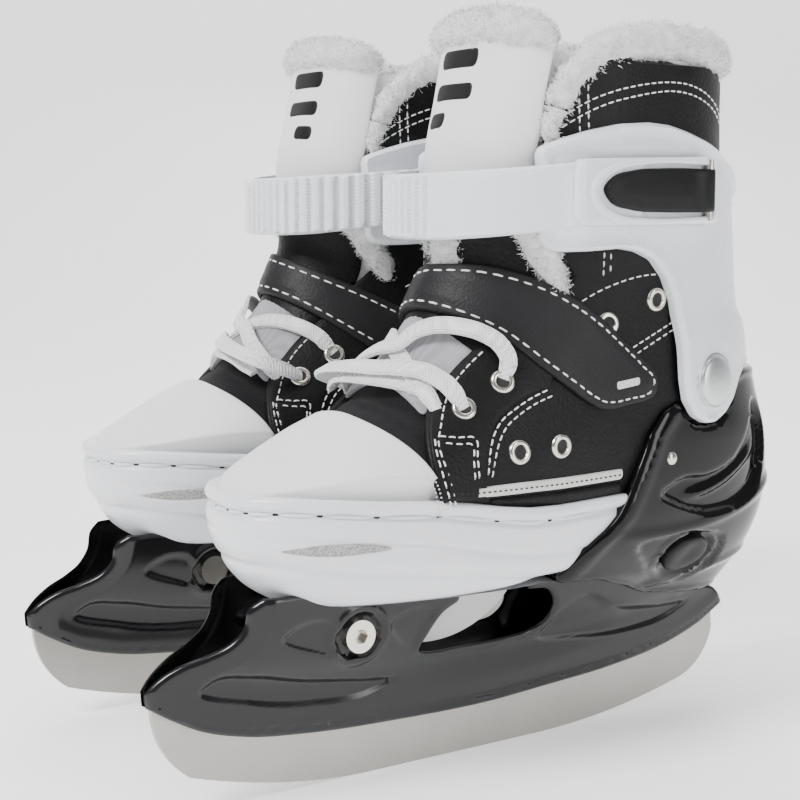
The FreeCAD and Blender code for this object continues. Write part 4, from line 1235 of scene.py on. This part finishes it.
def cuff_dent(a, b, dist):
    """Relief of the cuff."""
    rim = 1.1 * bell(dist - 2.0, 1.3) * smooth((b - 200.0) / 12.0)
    shelf = -1.0 * bell(b - 237.0, 3.2)
    edge = 0.7 * bell(dist - 1.6, 1.0)
    y = CUFF.point(np.where(a > REAR, 2 * REAR - a, a), b)[..., 1]
    boss = 0.9 * smooth((11.5 - np.hypot(y - PIVOT[0], b - PIVOT[1])) / 2.0)
    rear = 1.2 * smooth((y - 96) / 8.0) * smooth((178.0 - b) / 6.0)
    return rim + shelf * smooth((60 - np.abs(y - 60)) / 20.0) + edge + boss + rear


cuff_line = np.array(CUFF.wrap(cuff_top, cuff_low))
cuff_line = resample(np.vstack((cuff_line, cuff_line[:1])), 1.5, True)
emit("cuff_body", panel(CUFF, cuff_line, thick=1.3, edge=1.5, grid=2.2, lift=-1.2, dent=cuff_dent,
                        skirt=2.8), CUFF_WHITE, "{}_ankle_cuff", ("cuff",), sharp=50)

CAP_PROFILE = [(0, 2.5), (4, 2.35), (7.2, 1.9), (9, 1.3), (9.9, 0.7), (10.2, 0), (10.2, -0.8)]
CAP_SEAT = [(10.2, 0.1), (10.9, 0.15), (11.3, -0.1), (11.4, -0.8)]
pivots = join([turned_pair(CUFF, PIVOT, 0.6, profile, 48) for profile in (CAP_PROFILE, CAP_SEAT)])
emit("pivot_caps", pivots, SATIN_CAP, "skates", ("shell_rivets",))


# ---------------------------------------------------------------- buckle strap, frame and lever

def strap_line(a):
    """Centre of the buckle strap: angle round the boot to a 3-D point and its outward normal."""
    t = np.asarray(a) / 50.0
    x, y = ring_xy(t, 2.5)
    px, py = x * 48.9, 50.0 + y * 71.0
    z = 223.6 - 0.105 * np.clip(32.0 - py, 0, 90)
    nrm = unit(np.stack((np.sign(x) * np.abs(x) ** 1.5 / 48.9, np.sign(y) * np.abs(y) ** 1.5 / 71.0, 0 * x),
                        -1))
    return np.stack((px, py, z), -1), nrm


class Strap:
    """a goes round, b is height from the strap's centre line."""

    def __call__(self, a, b, h):
        a, b, h = np.broadcast_arrays(np.asarray(a, float), np.asarray(b, float), np.asarray(h, float))
        p, n = strap_line(a)
        out = p + n * h[..., None]
        out[..., 2] += b
        return out


STRAP = Strap()
STRAP_END = 2 * FRONT + 6.0


def strap_dent(a, b, dist):
    """Ribs of the buckle strap."""
    rib = np.abs(((a + 79.0) % 4.6) - 2.3) / 2.3
    toothed = smooth((-66.0 - a) / 2.0) * smooth((12.2 - np.abs(b)) / 0.8)
    edge = 0.5 * bell(dist - 1.4, 0.8)
    return 1.7 * smooth((rib - 0.34) / 0.22) * toothed + edge * smooth((a + 68.0) / 2.0)


strap_out = rounded([(-0.5, 12), (-60, 12.6), (-110, 12.6), (STRAP_END, 11), (STRAP_END, -11),
                     (-110, -12.6), (-60, -12.4), (-0.5, -11.8)], 2, 1.2)
emit("buckle_strap", panel(STRAP, strap_out, thick=1.3, edge=1.2, grid=0.85, lift=0.6, dent=strap_dent,
                           skirt=2.6), CUFF_WHITE, "{}_ankle_cuff", ("ladder_strap",),
     sharp=45)
back = panel(STRAP, strap_out[::-1], thick=0.2, edge=1.2, grid=4.0, lift=-1.9, skirt=0.4)
emit("buckle_strap_back", flipped(back), CUFF_WHITE, "{}_ankle_cuff")


class Flat:
    """Buckle plane: a is y, b is z, slightly bowed so that it follows the cuff."""

    def __call__(self, a, b, h):
        a, b, h = np.broadcast_arrays(np.asarray(a, float), np.asarray(b, float), np.asarray(h, float))
        x = 49.2 - 0.0007 * (a - 52.0) ** 2 + h
        return np.stack((x, a, b), -1)


FLAT = Flat()
bay = spline([(84, 234), (48, 233.6), (36.6, 231.6), (28.6, 227.6), (26.2, 223.8), (28.6, 219.6),
              (36.6, 215.4), (48, 214.2), (84, 214.6)], 1.2)
bay = resample(np.vstack((bay, bay[:1])), 1.2, True)
frame_line = rounded([(17.6, 235.6), (88, 237.4), (89, 211.6), (17.6, 211)], 5, 1.2)
plate = panel(FLAT, frame_line, thick=1.6, edge=1.6, grid=2.0, lift=1.2, holes=(bay[::-1],), skirt=3.4)
u_out = spline([(86.6, 236.4), (48, 236), (34.6, 234.2), (25, 229.6), (22.4, 223.8), (25, 217.8),
                (34.6, 212.8), (48, 211.8), (86.6, 212.2)], 1.2)
u_line = resample(np.vstack((u_out, resample([(86.6, 212.2), (86.6, 214.6)], 1.0), bay[::-1][:-1],
                             u_out[:1])), 1.2, True)
rim = panel(FLAT, u_line, thick=1.2, edge=1.1, grid=1.6, lift=2.4, skirt=1.4)
bed = panel(FLAT, rounded([(26, 235), (86, 235), (86, 213), (26, 213)], 3, 1.5), thick=0.3, edge=1, grid=3,
            lift=0.4, skirt=1)
emit("buckle_frame_body", join([plate, rim, bed]), CUFF_WHITE, "{}_ankle_cuff",
     ("buckle_frame",), sharp=45)

lever_line = spline([(83.6, 232.6), (58, 232.6), (43, 231.6), (33.6, 229), (29.8, 224.8), (32.6, 220),
                     (43, 216.8), (58, 216), (83.6, 216)], 1.2)
lever_line = resample(np.vstack((lever_line, lever_line[:1])), 1.2, True)


def lever_dent(a, b, dist):
    """The lever is raised inside its edge, and more towards both ends."""
    rise = 0.7 * smooth((dist - 1.5) / 5.0) + 0.0007 * np.clip(60.0 - a, 0, 30) ** 2
    return rise + 1.3 * smooth((a - 72.0) / 8.0)


face = panel(FLAT, lever_line, thick=1.5, edge=1.6, grid=1.8, lift=2.3, dent=lever_dent, skirt=2.0)
back = panel(FLAT, lever_line, thick=-0.4, edge=1.6, grid=3.0, lift=0.7, skirt=-1.0)
emit("lever_body", join([face, flipped(back)]), LEVER_BLACK, "{}_buckle",
     ("buckle_lever",), sharp=45)


# ---------------------------------------------------------------- hook-and-loop strap

WRAP = Wrap(BOOT_TREE, (0.0, 48.0, 148.0), -26.0)
strap_top = [(13.4, 4.6), (12.6, 8.6), (9.6, 11.4), (3, 13.4), (-12, 17.4), (-24, 20.6), (-35.5, 22.8),
             (-49, 23.6), (-60, 22), (-75, 17), (-90, 14.6), (-110, 14), (-130, 13.6), (-152, 12)]
strap_bottom = [(-152, -12), (-130, -11), (-110, -7), (-90, -3.2), (-68.2, -1.4), (-53.6, -2.6),
                (-38.4, -7.4), (-26, -10.2), (-16, -11.8), (-10.6, -11.8), (-6.6, -10.4), (2.6, -5),
                (10.4, -0.2), (13.2, 3)]
strap_edge = rounded(np.vstack((spline(strap_top, 1.2), spline(strap_bottom, 1.2)))[::3], 3.0, 1.2)


def strap_puff(a, b, dist):
    """Soft swelling between the stitch rows."""
    return 0.7 * smooth(dist / 6.0) - 0.55 * bell(dist - 3.2, 0.7)


emit("instep_strap_leather", panel(WRAP, strap_edge, thick=1.6, edge=1.5, grid=2.0, lift=2.2,
                                   dent=strap_puff, skirt=1.0), STRAP_LEATHER, "skates",
     ("instep_strap",), sharp=50)
underside = panel(WRAP, strap_edge, thick=0.2, edge=1.0, grid=6.0, lift=0.6, skirt=0.8)
emit("instep_strap_underside", flipped(underside), DARK_CLOTH, "skates")
rows = [
    [(10.4, 5.6), (9.4, 8.2), (1.6, 10.8), (-12, 14.4), (-24, 17.6), (-35.5, 19.8), (-49, 20.6), (-60, 19),
     (-75, 14), (-90, 11.6), (-110, 11), (-140, 10)],
    [(-6, 8), (-16, 10), (-26, 12), (-38, 12.6), (-50, 12.6), (-62, 11.4), (-75, 9), (-90, 7), (-110, 6),
     (-140, 5)],
    [(-140, -7.6), (-112, -4.4), (-90, -0.4), (-68.2, 1.4), (-53.6, 0.4), (-38.4, -4.2), (-26, -7),
     (-15, -8.8), (-10.6, -8.7), (-7.6, -7.6), (1, -2.7), (8.4, 2), (10.2, 4.4)],
]
emit("instep_strap_stitching", join([stitches(WRAP, spline(r, 0.8), 3.75, 2.6, 1.3, 0.38) for r in rows]),
     THREAD, "skates")
mark = rounded([(-7.5, -2.6), (2.6, 3.6), (1.2, 6.4), (-9, 0.2)], 1.2, 0.6)
emit("instep_strap_mark", panel(WRAP, mark, thick=0.35, edge=0.5, grid=1.2, lift=4.3, skirt=1.0),
     PIPING_WHITE, "skates")


# ---------------------------------------------------------------- tongue

def lifted(s, p, h):
    """The boot form, carried straight on above the collar."""
    q = boot(np.minimum(s, 17.0), p, h)
    q[..., 1] += 1.5 * np.maximum(s - 17.0, 0)
    q[..., 2] += 8.0 * np.maximum(s - 17.0, 0)
    return q


def cushion(s0, s1, p0, p1, middle, thick, rows=60, cols=64, power=3.0, ripple=None):
    """Stuffed slab on the boot form between two stations and two angles."""
    t = np.linspace(-math.pi, math.pi, cols, endpoint=False)
    c, q = np.cos(t), np.sin(t)
    r = (np.abs(c) ** power + np.abs(q) ** power) ** (-1 / power)
    k = np.linspace(-1, 1, rows)
    ends = np.clip(1 - np.abs(k) ** 16, 0.0, 1) ** 0.5
    s = (s0 + s1) / 2 + (s1 - s0) / 2 * k
    lo, hi = (np.interp(s, *v) if isinstance(v, tuple) else np.full(rows, v) for v in (p0, p1))
    width = (hi - lo) / 2 * (0.93 + 0.07 * ends)
    phi = (hi + lo)[:, None] / 2 + width[:, None] * (c * r)[None]
    h = np.full((rows, 1), middle) + thick * (0.12 + 0.88 * ends)[:, None] * (q * r)[None]
    ss = np.broadcast_to(s[:, None], phi.shape)
    if ripple is not None:
        h = h + ripple(ss, phi)
    v = lifted(ss, phi, h).reshape(-1, 3)
    f = grid_faces(rows, cols, wrap=True, flip=True)
    f += [tuple(range(cols)), tuple((rows - 1) * cols + i for i in range(cols))[::-1]]
    return v, f


def soften(s, p):
    """Slow unevenness of the padding."""
    return 0.9 * np.sin(s * 2.6 + 1.0) * bell(p, 0.5) * 0.6 + 0.5 * np.sin(p * 7.0 + s) * 0.5


tongues = emit("upper_tongue_leather", cushion(12.4, 17.7, -0.80, 0.80, -0.4, 2.8, ripple=soften),
               WHITE_LEATHER, "{}_ankle_cuff", ("tongue_upper",), sharp=60)
tongue_s = np.array([8.2, 9.5, 13.2])
tongue_edges = [(tongue_s, np.array(edge)) for edge in ([-0.62, -0.74, -0.80], [0.66, 0.78, 0.84])]
tongues = emit("lower_tongue_leather", cushion(8.2, 13.2, *tongue_edges, -1.6, 2.6, ripple=soften),
               LEATHER, "skates", ("tongue_lower",), sharp=60)
emit("tongue_satin_flap", cushion(6.1, 8.6, -0.72, 0.72, -1.0, 2.0, rows=40, ripple=soften), SATIN,
     "skates", sharp=60)


class Instep:
    """a is phi x 42, b is s x 11: nearly even millimetres over the tongue."""

    def __call__(self, a, b, h):
        a, b, h = np.broadcast_arrays(np.asarray(a, float), np.asarray(b, float), np.asarray(h, float))
        return lifted(b / 11.0, a / 42.0, h)


INSTEP = Instep()
bars = [rounded([(-13, z), (end, z), (end, z + 5.8), (-13, z + 5.8)], 2.8, 0.8) for z,
        end in ((181.6, 9), (171.6, 9), (161.6, -2))]
look = dict(thick=0.7, edge=0.9, grid=1.6, lift=2.0, dent=lambda a, b, d: soften(b / 11.0, a / 42.0),
            skirt=2.0)
badge = join([panel(INSTEP, bar, **look) for bar in bars])
emit("tongue_badge", badge, LEVER_BLACK, "{}_ankle_cuff")


# ---------------------------------------------------------------- laces

def on_boot(points, lift):
    """Smooth line near the boot form with outward normals, lifted off it."""
    p = spline(points, 1.3)
    lift = np.interp(np.linspace(0, 1, len(p)), np.linspace(0, 1, len(lift)), lift)
    out, nor = [], []
    for q, h in zip(p, lift):
        near, n, _, _ = BOOT_TREE.find_nearest(Vector(q))
        n = np.array(n)
        n = n if n @ (q - np.array((0.0, 20.0, 110.0))) > 0 else -n
        out.append(q + n * h)
        nor.append(n)
    nor = np.array(nor)
    for _ in range(6):
        nor[1:-1] = unit(nor[:-2] + nor[1:-1] * 2 + nor[2:])
    return np.array(out), nor


LACE_RUNS = [
    ([(-34.6, -21.9, 144.6), (-35.6, -30, 146.8), (-31, -41, 149.6), (-20, -44.6, 152.6),
      (-8, -42.6, 154.6), (3, -38.4, 155), (12, -33.6, 155.2),
      (20, -28.4, 154.4), (27, -25, 151.2), (31.8, -23.2, 147.6), (34.6, -21.9, 143.9)],
     [1.2, 3, 4.2, 4.4, 3.8, 3.6, 3.8, 4.4, 4.8, 4.2, 0.6], 7.2),
    ([(-35.2, -5.5, 153.6), (-30, -9, 159.6), (-20, -17, 165.6), (-10, -23, 166.6), (0.8, -29, 163.2),
      (8, -30.6, 159.6), (14.3, -31.6, 155.8), (20.6, -32, 151.6),
      (26.4, -31.6, 147.6), (30.6, -31.4, 143.6)],
     [0.6, 3.2, 2.6, 2.0, 1.8, 1.6, 1.5, 1.4, 1.4, 0.4], 6.8),
    ([(-31, -31, 143.6), (-24, -34, 150.4), (-14, -34, 157), (-4, -30.4, 162), (4.5, -27.7, 164),
      (7.6, -23, 168.4), (12.8, -18.4, 171.4), (19.5, -13.3, 171.6),
      (25.6, -7.8, 169.4), (30.6, -3.6, 165.2), (33.6, -2.2, 159.8), (35.2, -5.3, 153.2)],
     [0.4, 2.8, 3.2, 3.2, 3.4, 4.4, 5, 5.2, 5.4, 5.4, 4.6, 0.4], 6.8),
    ([(-28, -41, 146), (-16, -43.6, 150.6), (-2, -42, 151.8), (10, -37.6, 151.6), (18, -33.6, 150.6),
      (25, -31, 148.4), (30, -30.6, 144.8)],
     [0.6, 2.0, 2.0, 1.9, 1.8, 1.6, 0.4], 6.0),
]
ribbons, ribs = [], []
for points, lift, width in LACE_RUNS:
    line, nor = on_boot(points, lift)
    from_end = np.minimum(np.arange(len(line)), np.arange(len(line))[::-1])
    taper = width * (0.62 + 0.38 * smooth(from_end / 5.0))
    ribbons.append(strip(line, nor, taper, 0.95, 0.25))
    sideways = unit(np.cross(unit(np.gradient(line, axis=0)), nor)) * taper[:, None]
    ribs += [tube(line + sideways * u + nor * 1.12, 0.36, sides=6) for u in np.linspace(-0.41, 0.41, 7)]
emit("lace_ribbons", join(ribbons), LACE, "skates", ("laces",), sharp=60)
emit("lace_weave_ribs", join(ribs), LACE, "skates", sharp=60)


# ---------------------------------------------------------------- fleece

def wool(points, normals, size):
    """Pushes points in and out in soft clumps."""
    out = []
    for p, n in zip(points, normals):
        broad = fractal.noise(Vector(p * 0.17)) * 1.3
        clumps = fractal.noise(Vector(p * 0.42 + 9.0)) * 0.8
        tufts = abs(fractal.noise(Vector(p * 0.9 + 3.0))) * 0.8
        out.append(p + n * (broad + clumps + tufts) * size)
    return np.array(out)


def fibres(verts, normals, count, length=2.6, width=0.34):
    """Short curled hairs standing off a woolly surface."""
    pick = rng.integers(0, len(verts), count)
    base = verts[pick] + rng.normal(0, 0.5, (count, 3))
    lean = unit(normals[pick] + rng.normal(0, 0.75, (count, 3)))
    bend = unit(lean + rng.normal(0, 0.8, (count, 3)))
    side = unit(np.cross(lean, rng.normal(0, 1, (count, 3)))) * width / 2
    reach = length * rng.uniform(0.4, 1.0, (count, 1))
    mid = base + lean * reach * 0.55
    tip = mid + bend * reach * 0.5
    v = np.stack((base - side, base + side, mid + side * 0.8, mid - side * 0.8, tip), 1).reshape(-1, 3)
    f = []
    for i in range(count):
        k = i * 5
        f += [(k, k + 1, k + 2, k + 3), (k + 3, k + 2, k + 4)]
    return v, f


def fleece_roll(points, radius, hairs, flat=1.0, puff=1.0, normals=None):
    """Fat fleece-covered roll along a line."""
    line = spline(points, 1.3)
    n = len(line)
    taper = np.sqrt(np.clip(1 - np.abs(np.linspace(-1, 1, n)) ** 10, 0.02, 1))
    if normals is not None:
        normals = along(np.array(normals), np.linspace(0, 1, len(normals)), np.linspace(0, 1, n))
    r = np.interp(np.linspace(0, 1, n), np.linspace(0, 1, len(radius)), radius) * taper
    v, f = tube(line, r, sides=30, squash=flat, normals=normals)
    centre = np.repeat(line, 30, axis=0)
    out = unit(v - centre)
    v = wool(v, out, puff)
    return (v, f), fibres(v, out, hairs)


top_edge = [(33.2, 17, 236), (33.4, 17.2, 244), (33.6, 18.6, 252), (34.4, 22, 260.6), (36.4, 29, 269.4),
            (37.6, 38, 275.6), (38.6, 52, 279.4), (38.8, 68, 280.8), (37.6, 84, 280.2), (33, 98, 278),
            (22, 109, 275.6), (0, 112.8, 274.4)]
top_edge += [(-x, y, z) for x, y, z in top_edge[-2::-1]]
radii = [4.6, 5.0, 5.4, 5.8, 6.2, 6.4, 6.6, 6.6, 6.4, 6.2, 6.0]
radii = radii + [6.0] + radii[::-1]
collar = fleece_roll(top_edge, radii, 16000, puff=1.1)
emit("collar_fleece", collar[0], FUR, "{}_ankle_cuff", ("fur_lining",), sharp=180)
emit("collar_fleece_hairs", collar[1], FUR, "{}_ankle_cuff", sharp=180)
roll_line = [(-33, 21, 280), (-26, 12.6, 283.6), (-14, 7.6, 285.4), (0, 6.4, 286), (14, 7.6, 285.4),
             (26, 12.6, 283.6), (33, 21, 280)]
roll = fleece_roll(roll_line, [5.2, 6.4, 6.8, 6.8, 6.8, 6.4, 5.2], 6000, puff=1.1)
emit("tongue_fleece_roll", roll[0], FUR, "{}_ankle_cuff", sharp=180)
emit("tongue_fleece_hairs", roll[1], FUR, "{}_ankle_cuff", sharp=180)
ss, pp = np.meshgrid(np.linspace(12.6, 17.6, 46), np.linspace(-0.78, 0.78, 50), indexing="ij")
v = lifted(ss, pp, -4.4 + 0 * ss).reshape(-1, 3)
nrm = (v - lifted(ss, pp, -3.0 + 0 * ss).reshape(-1, 3)) / 1.4
v = wool(v, nrm, 1.0)
emit("tongue_back_fleece", (v, grid_faces(46, 50, flip=True)), FUR, "{}_ankle_cuff", sharp=180)
emit("tongue_back_hairs", fibres(v, nrm, 3500), FUR, "{}_ankle_cuff", sharp=180)

ss, pp = np.meshgrid(np.linspace(7.4, 17.0, 140), np.linspace(0.66, 2 * math.pi - 0.66, 150), indexing="ij")
v = boot(ss, pp, -3.0 + 0 * ss).reshape(-1, 3)
nrm = unit(v - boot(ss, pp, 0 * ss).reshape(-1, 3))
v = tuck(wool(v, nrm, 1.1), 6.5)
emit("inner_fleece", (v, grid_faces(140, 150, flip=True)), FUR, SPLIT, sharp=180)
keep = np.where(v[:, 2] > 215)[0]
emit("inner_fleece_hairs", fibres(v[keep], nrm[keep], 9000), FUR, "{}_ankle_cuff", sharp=180)

for hand, name in ((1, "outer"), (-1, "inner")):
    throat = [(30.6, 6, 218), (32.4, 9.6, 210), (33.4, 14, 202), (33.6, 18.6, 195), (33.6, 22.4, 189.6),
              (33.4, 26, 185)]
    piece = fleece_roll([(hand * x, y, z) for x, y, z in throat], [5.6, 6.2, 5.8, 5.0, 3.8, 2.4], 2200)
    emit(name + "_throat_fleece", piece[0], FUR, "skates", sharp=180)
    emit(name + "_throat_hairs", piece[1], FUR, "skates", sharp=180)
bulge = fleece_roll([(-2, -3.6, 217), (0, -5.6, 208), (2, -7, 200), (5, -7.4, 193), (8, -7.6, 188)],
                    [8.6, 9, 8.6, 7.6, 5], 2600, flat=0.6, normals=[(0, -1, 0.1), (0, -1, 0.2)])
emit("tongue_side_fleece", bulge[0], FUR, "skates", only="left", sharp=180)
emit("tongue_side_hairs", bulge[1], FUR, "skates", only="left", sharp=180)


# ---------------------------------------------------------------- undersides

lower_edge = np.array(HEEL.outline(spline(heel_lower, 2.0)))
lower_edge = HEEL.point(lower_edge[:, 0], lower_edge[:, 1], -1.0)
rows = [lower_edge * (k, 1, 1) + (0, 0, 1.2 * (1 - k * k)) for k in np.linspace(1, -1, 25)]
under = (np.vstack(rows), grid_faces(25, len(lower_edge)))
above = (under[0] + (0, 0, 1.0), under[1])
emit("heel_shell_underside", under, GLOSS_BLACK, "skates", sharp=60)
emit("heel_shell_floor", flipped(above), GLOSS_BLACK, "skates", sharp=60)


# ---------------------------------------------------------------- camera, lights and floor

def aim(location, azimuth, pitch):
    """Camera at a place, turned by azimuth from the +y direction and tilted down by pitch."""
    ob = bpy.data.objects.new("camera", bpy.data.cameras.new("camera"))
    bpy.context.scene.collection.objects.link(ob)
    ob.location = location
    ob.rotation_euler = (math.radians(90.0 - pitch), 0.0, math.radians(azimuth))
    return ob


VIEW_AZIMUTH, VIEW_PITCH = 57.44, 7.236
camera = aim(((487.51 + OFFSET_X) / 1000, (-338.82 + OFFSET_Y) / 1000, 0.21802), VIEW_AZIMUTH, VIEW_PITCH)
camera.data.lens = 68.41
camera.data.sensor_width = 36.0
bpy.context.scene.camera = camera


def backdrop():
    """Pale floor that sweeps up behind the skates."""
    start, radius = 1.2, 0.9
    arc = [(start + radius * math.sin(t),
            radius - radius * math.cos(t)) for t in np.linspace(0.1, math.pi / 2, 16)]
    bend = [(-3.0, 0.0), (start, 0.0)] + arc + [(start + radius, 4.0)]
    cos, sin = math.cos(math.radians(VIEW_AZIMUTH)), math.sin(math.radians(VIEW_AZIMUTH))
    rows = []
    for back, up in bend:
        for sideways in (-5.0, 5.0):
            rows.append((cos * sideways - sin * back, cos * back + sin * sideways, up))
    me = bpy.data.meshes.new("backdrop")
    me.from_pydata(rows, [], grid_faces(len(bend), 2, flip=True))
    me.shade_smooth()
    paper = material("backdrop_paper", (0.95, 0.95, 0.95), 0.8, specular=0.2,
                     build=plastic((0.95, 0.95, 0.95), (0.93, 0.93, 0.93), 0.75, 0.85))
    glow = paper.node_tree.nodes["Principled BSDF"]
    glow.inputs["Emission Color"].default_value = (1.0, 1.0, 1.0, 1.0)
    glow.inputs["Emission Strength"].default_value = 0.6
    me.materials.append(paper)
    ob = bpy.data.objects.new("backdrop", me)
    bpy.context.scene.collection.objects.link(ob)


backdrop()


def lamp(name, location, target, size, power):
    """Soft rectangular light pointed at a target."""
    data = bpy.data.lights.new(name, "AREA")
    data.shape = "RECTANGLE"
    data.size, data.size_y = size
    data.energy = power
    ob = bpy.data.objects.new(name, data)
    ob.location = location
    ob.rotation_euler = (Vector(target) - Vector(location)).to_track_quat("-Z", "Y").to_euler()
    bpy.context.scene.collection.objects.link(ob)


lamp("key", (0.2, -1.5, 1.6), (0, 0, 0.12), (0.7, 0.7), 58)
lamp("side", (1.7, 0.5, 0.7), (0, 0, 0.12), (0.5, 1.2), 14)
lamp("top", (-0.2, 0.1, 1.9), (0, 0, 0.1), (1.4, 1.4), 22)
lamp("rear", (-1.3, 1, 1), (0, 0, 0.15), (1, 1), 8)
world = bpy.data.worlds.new("studio")
world.use_nodes = True
world.node_tree.nodes["Background"].inputs["Color"].default_value = (0.97, 0.98, 1.0, 1)
world.node_tree.nodes["Background"].inputs["Strength"].default_value = 0.3
bpy.context.scene.world = world

bpy.context.view_layer.update()
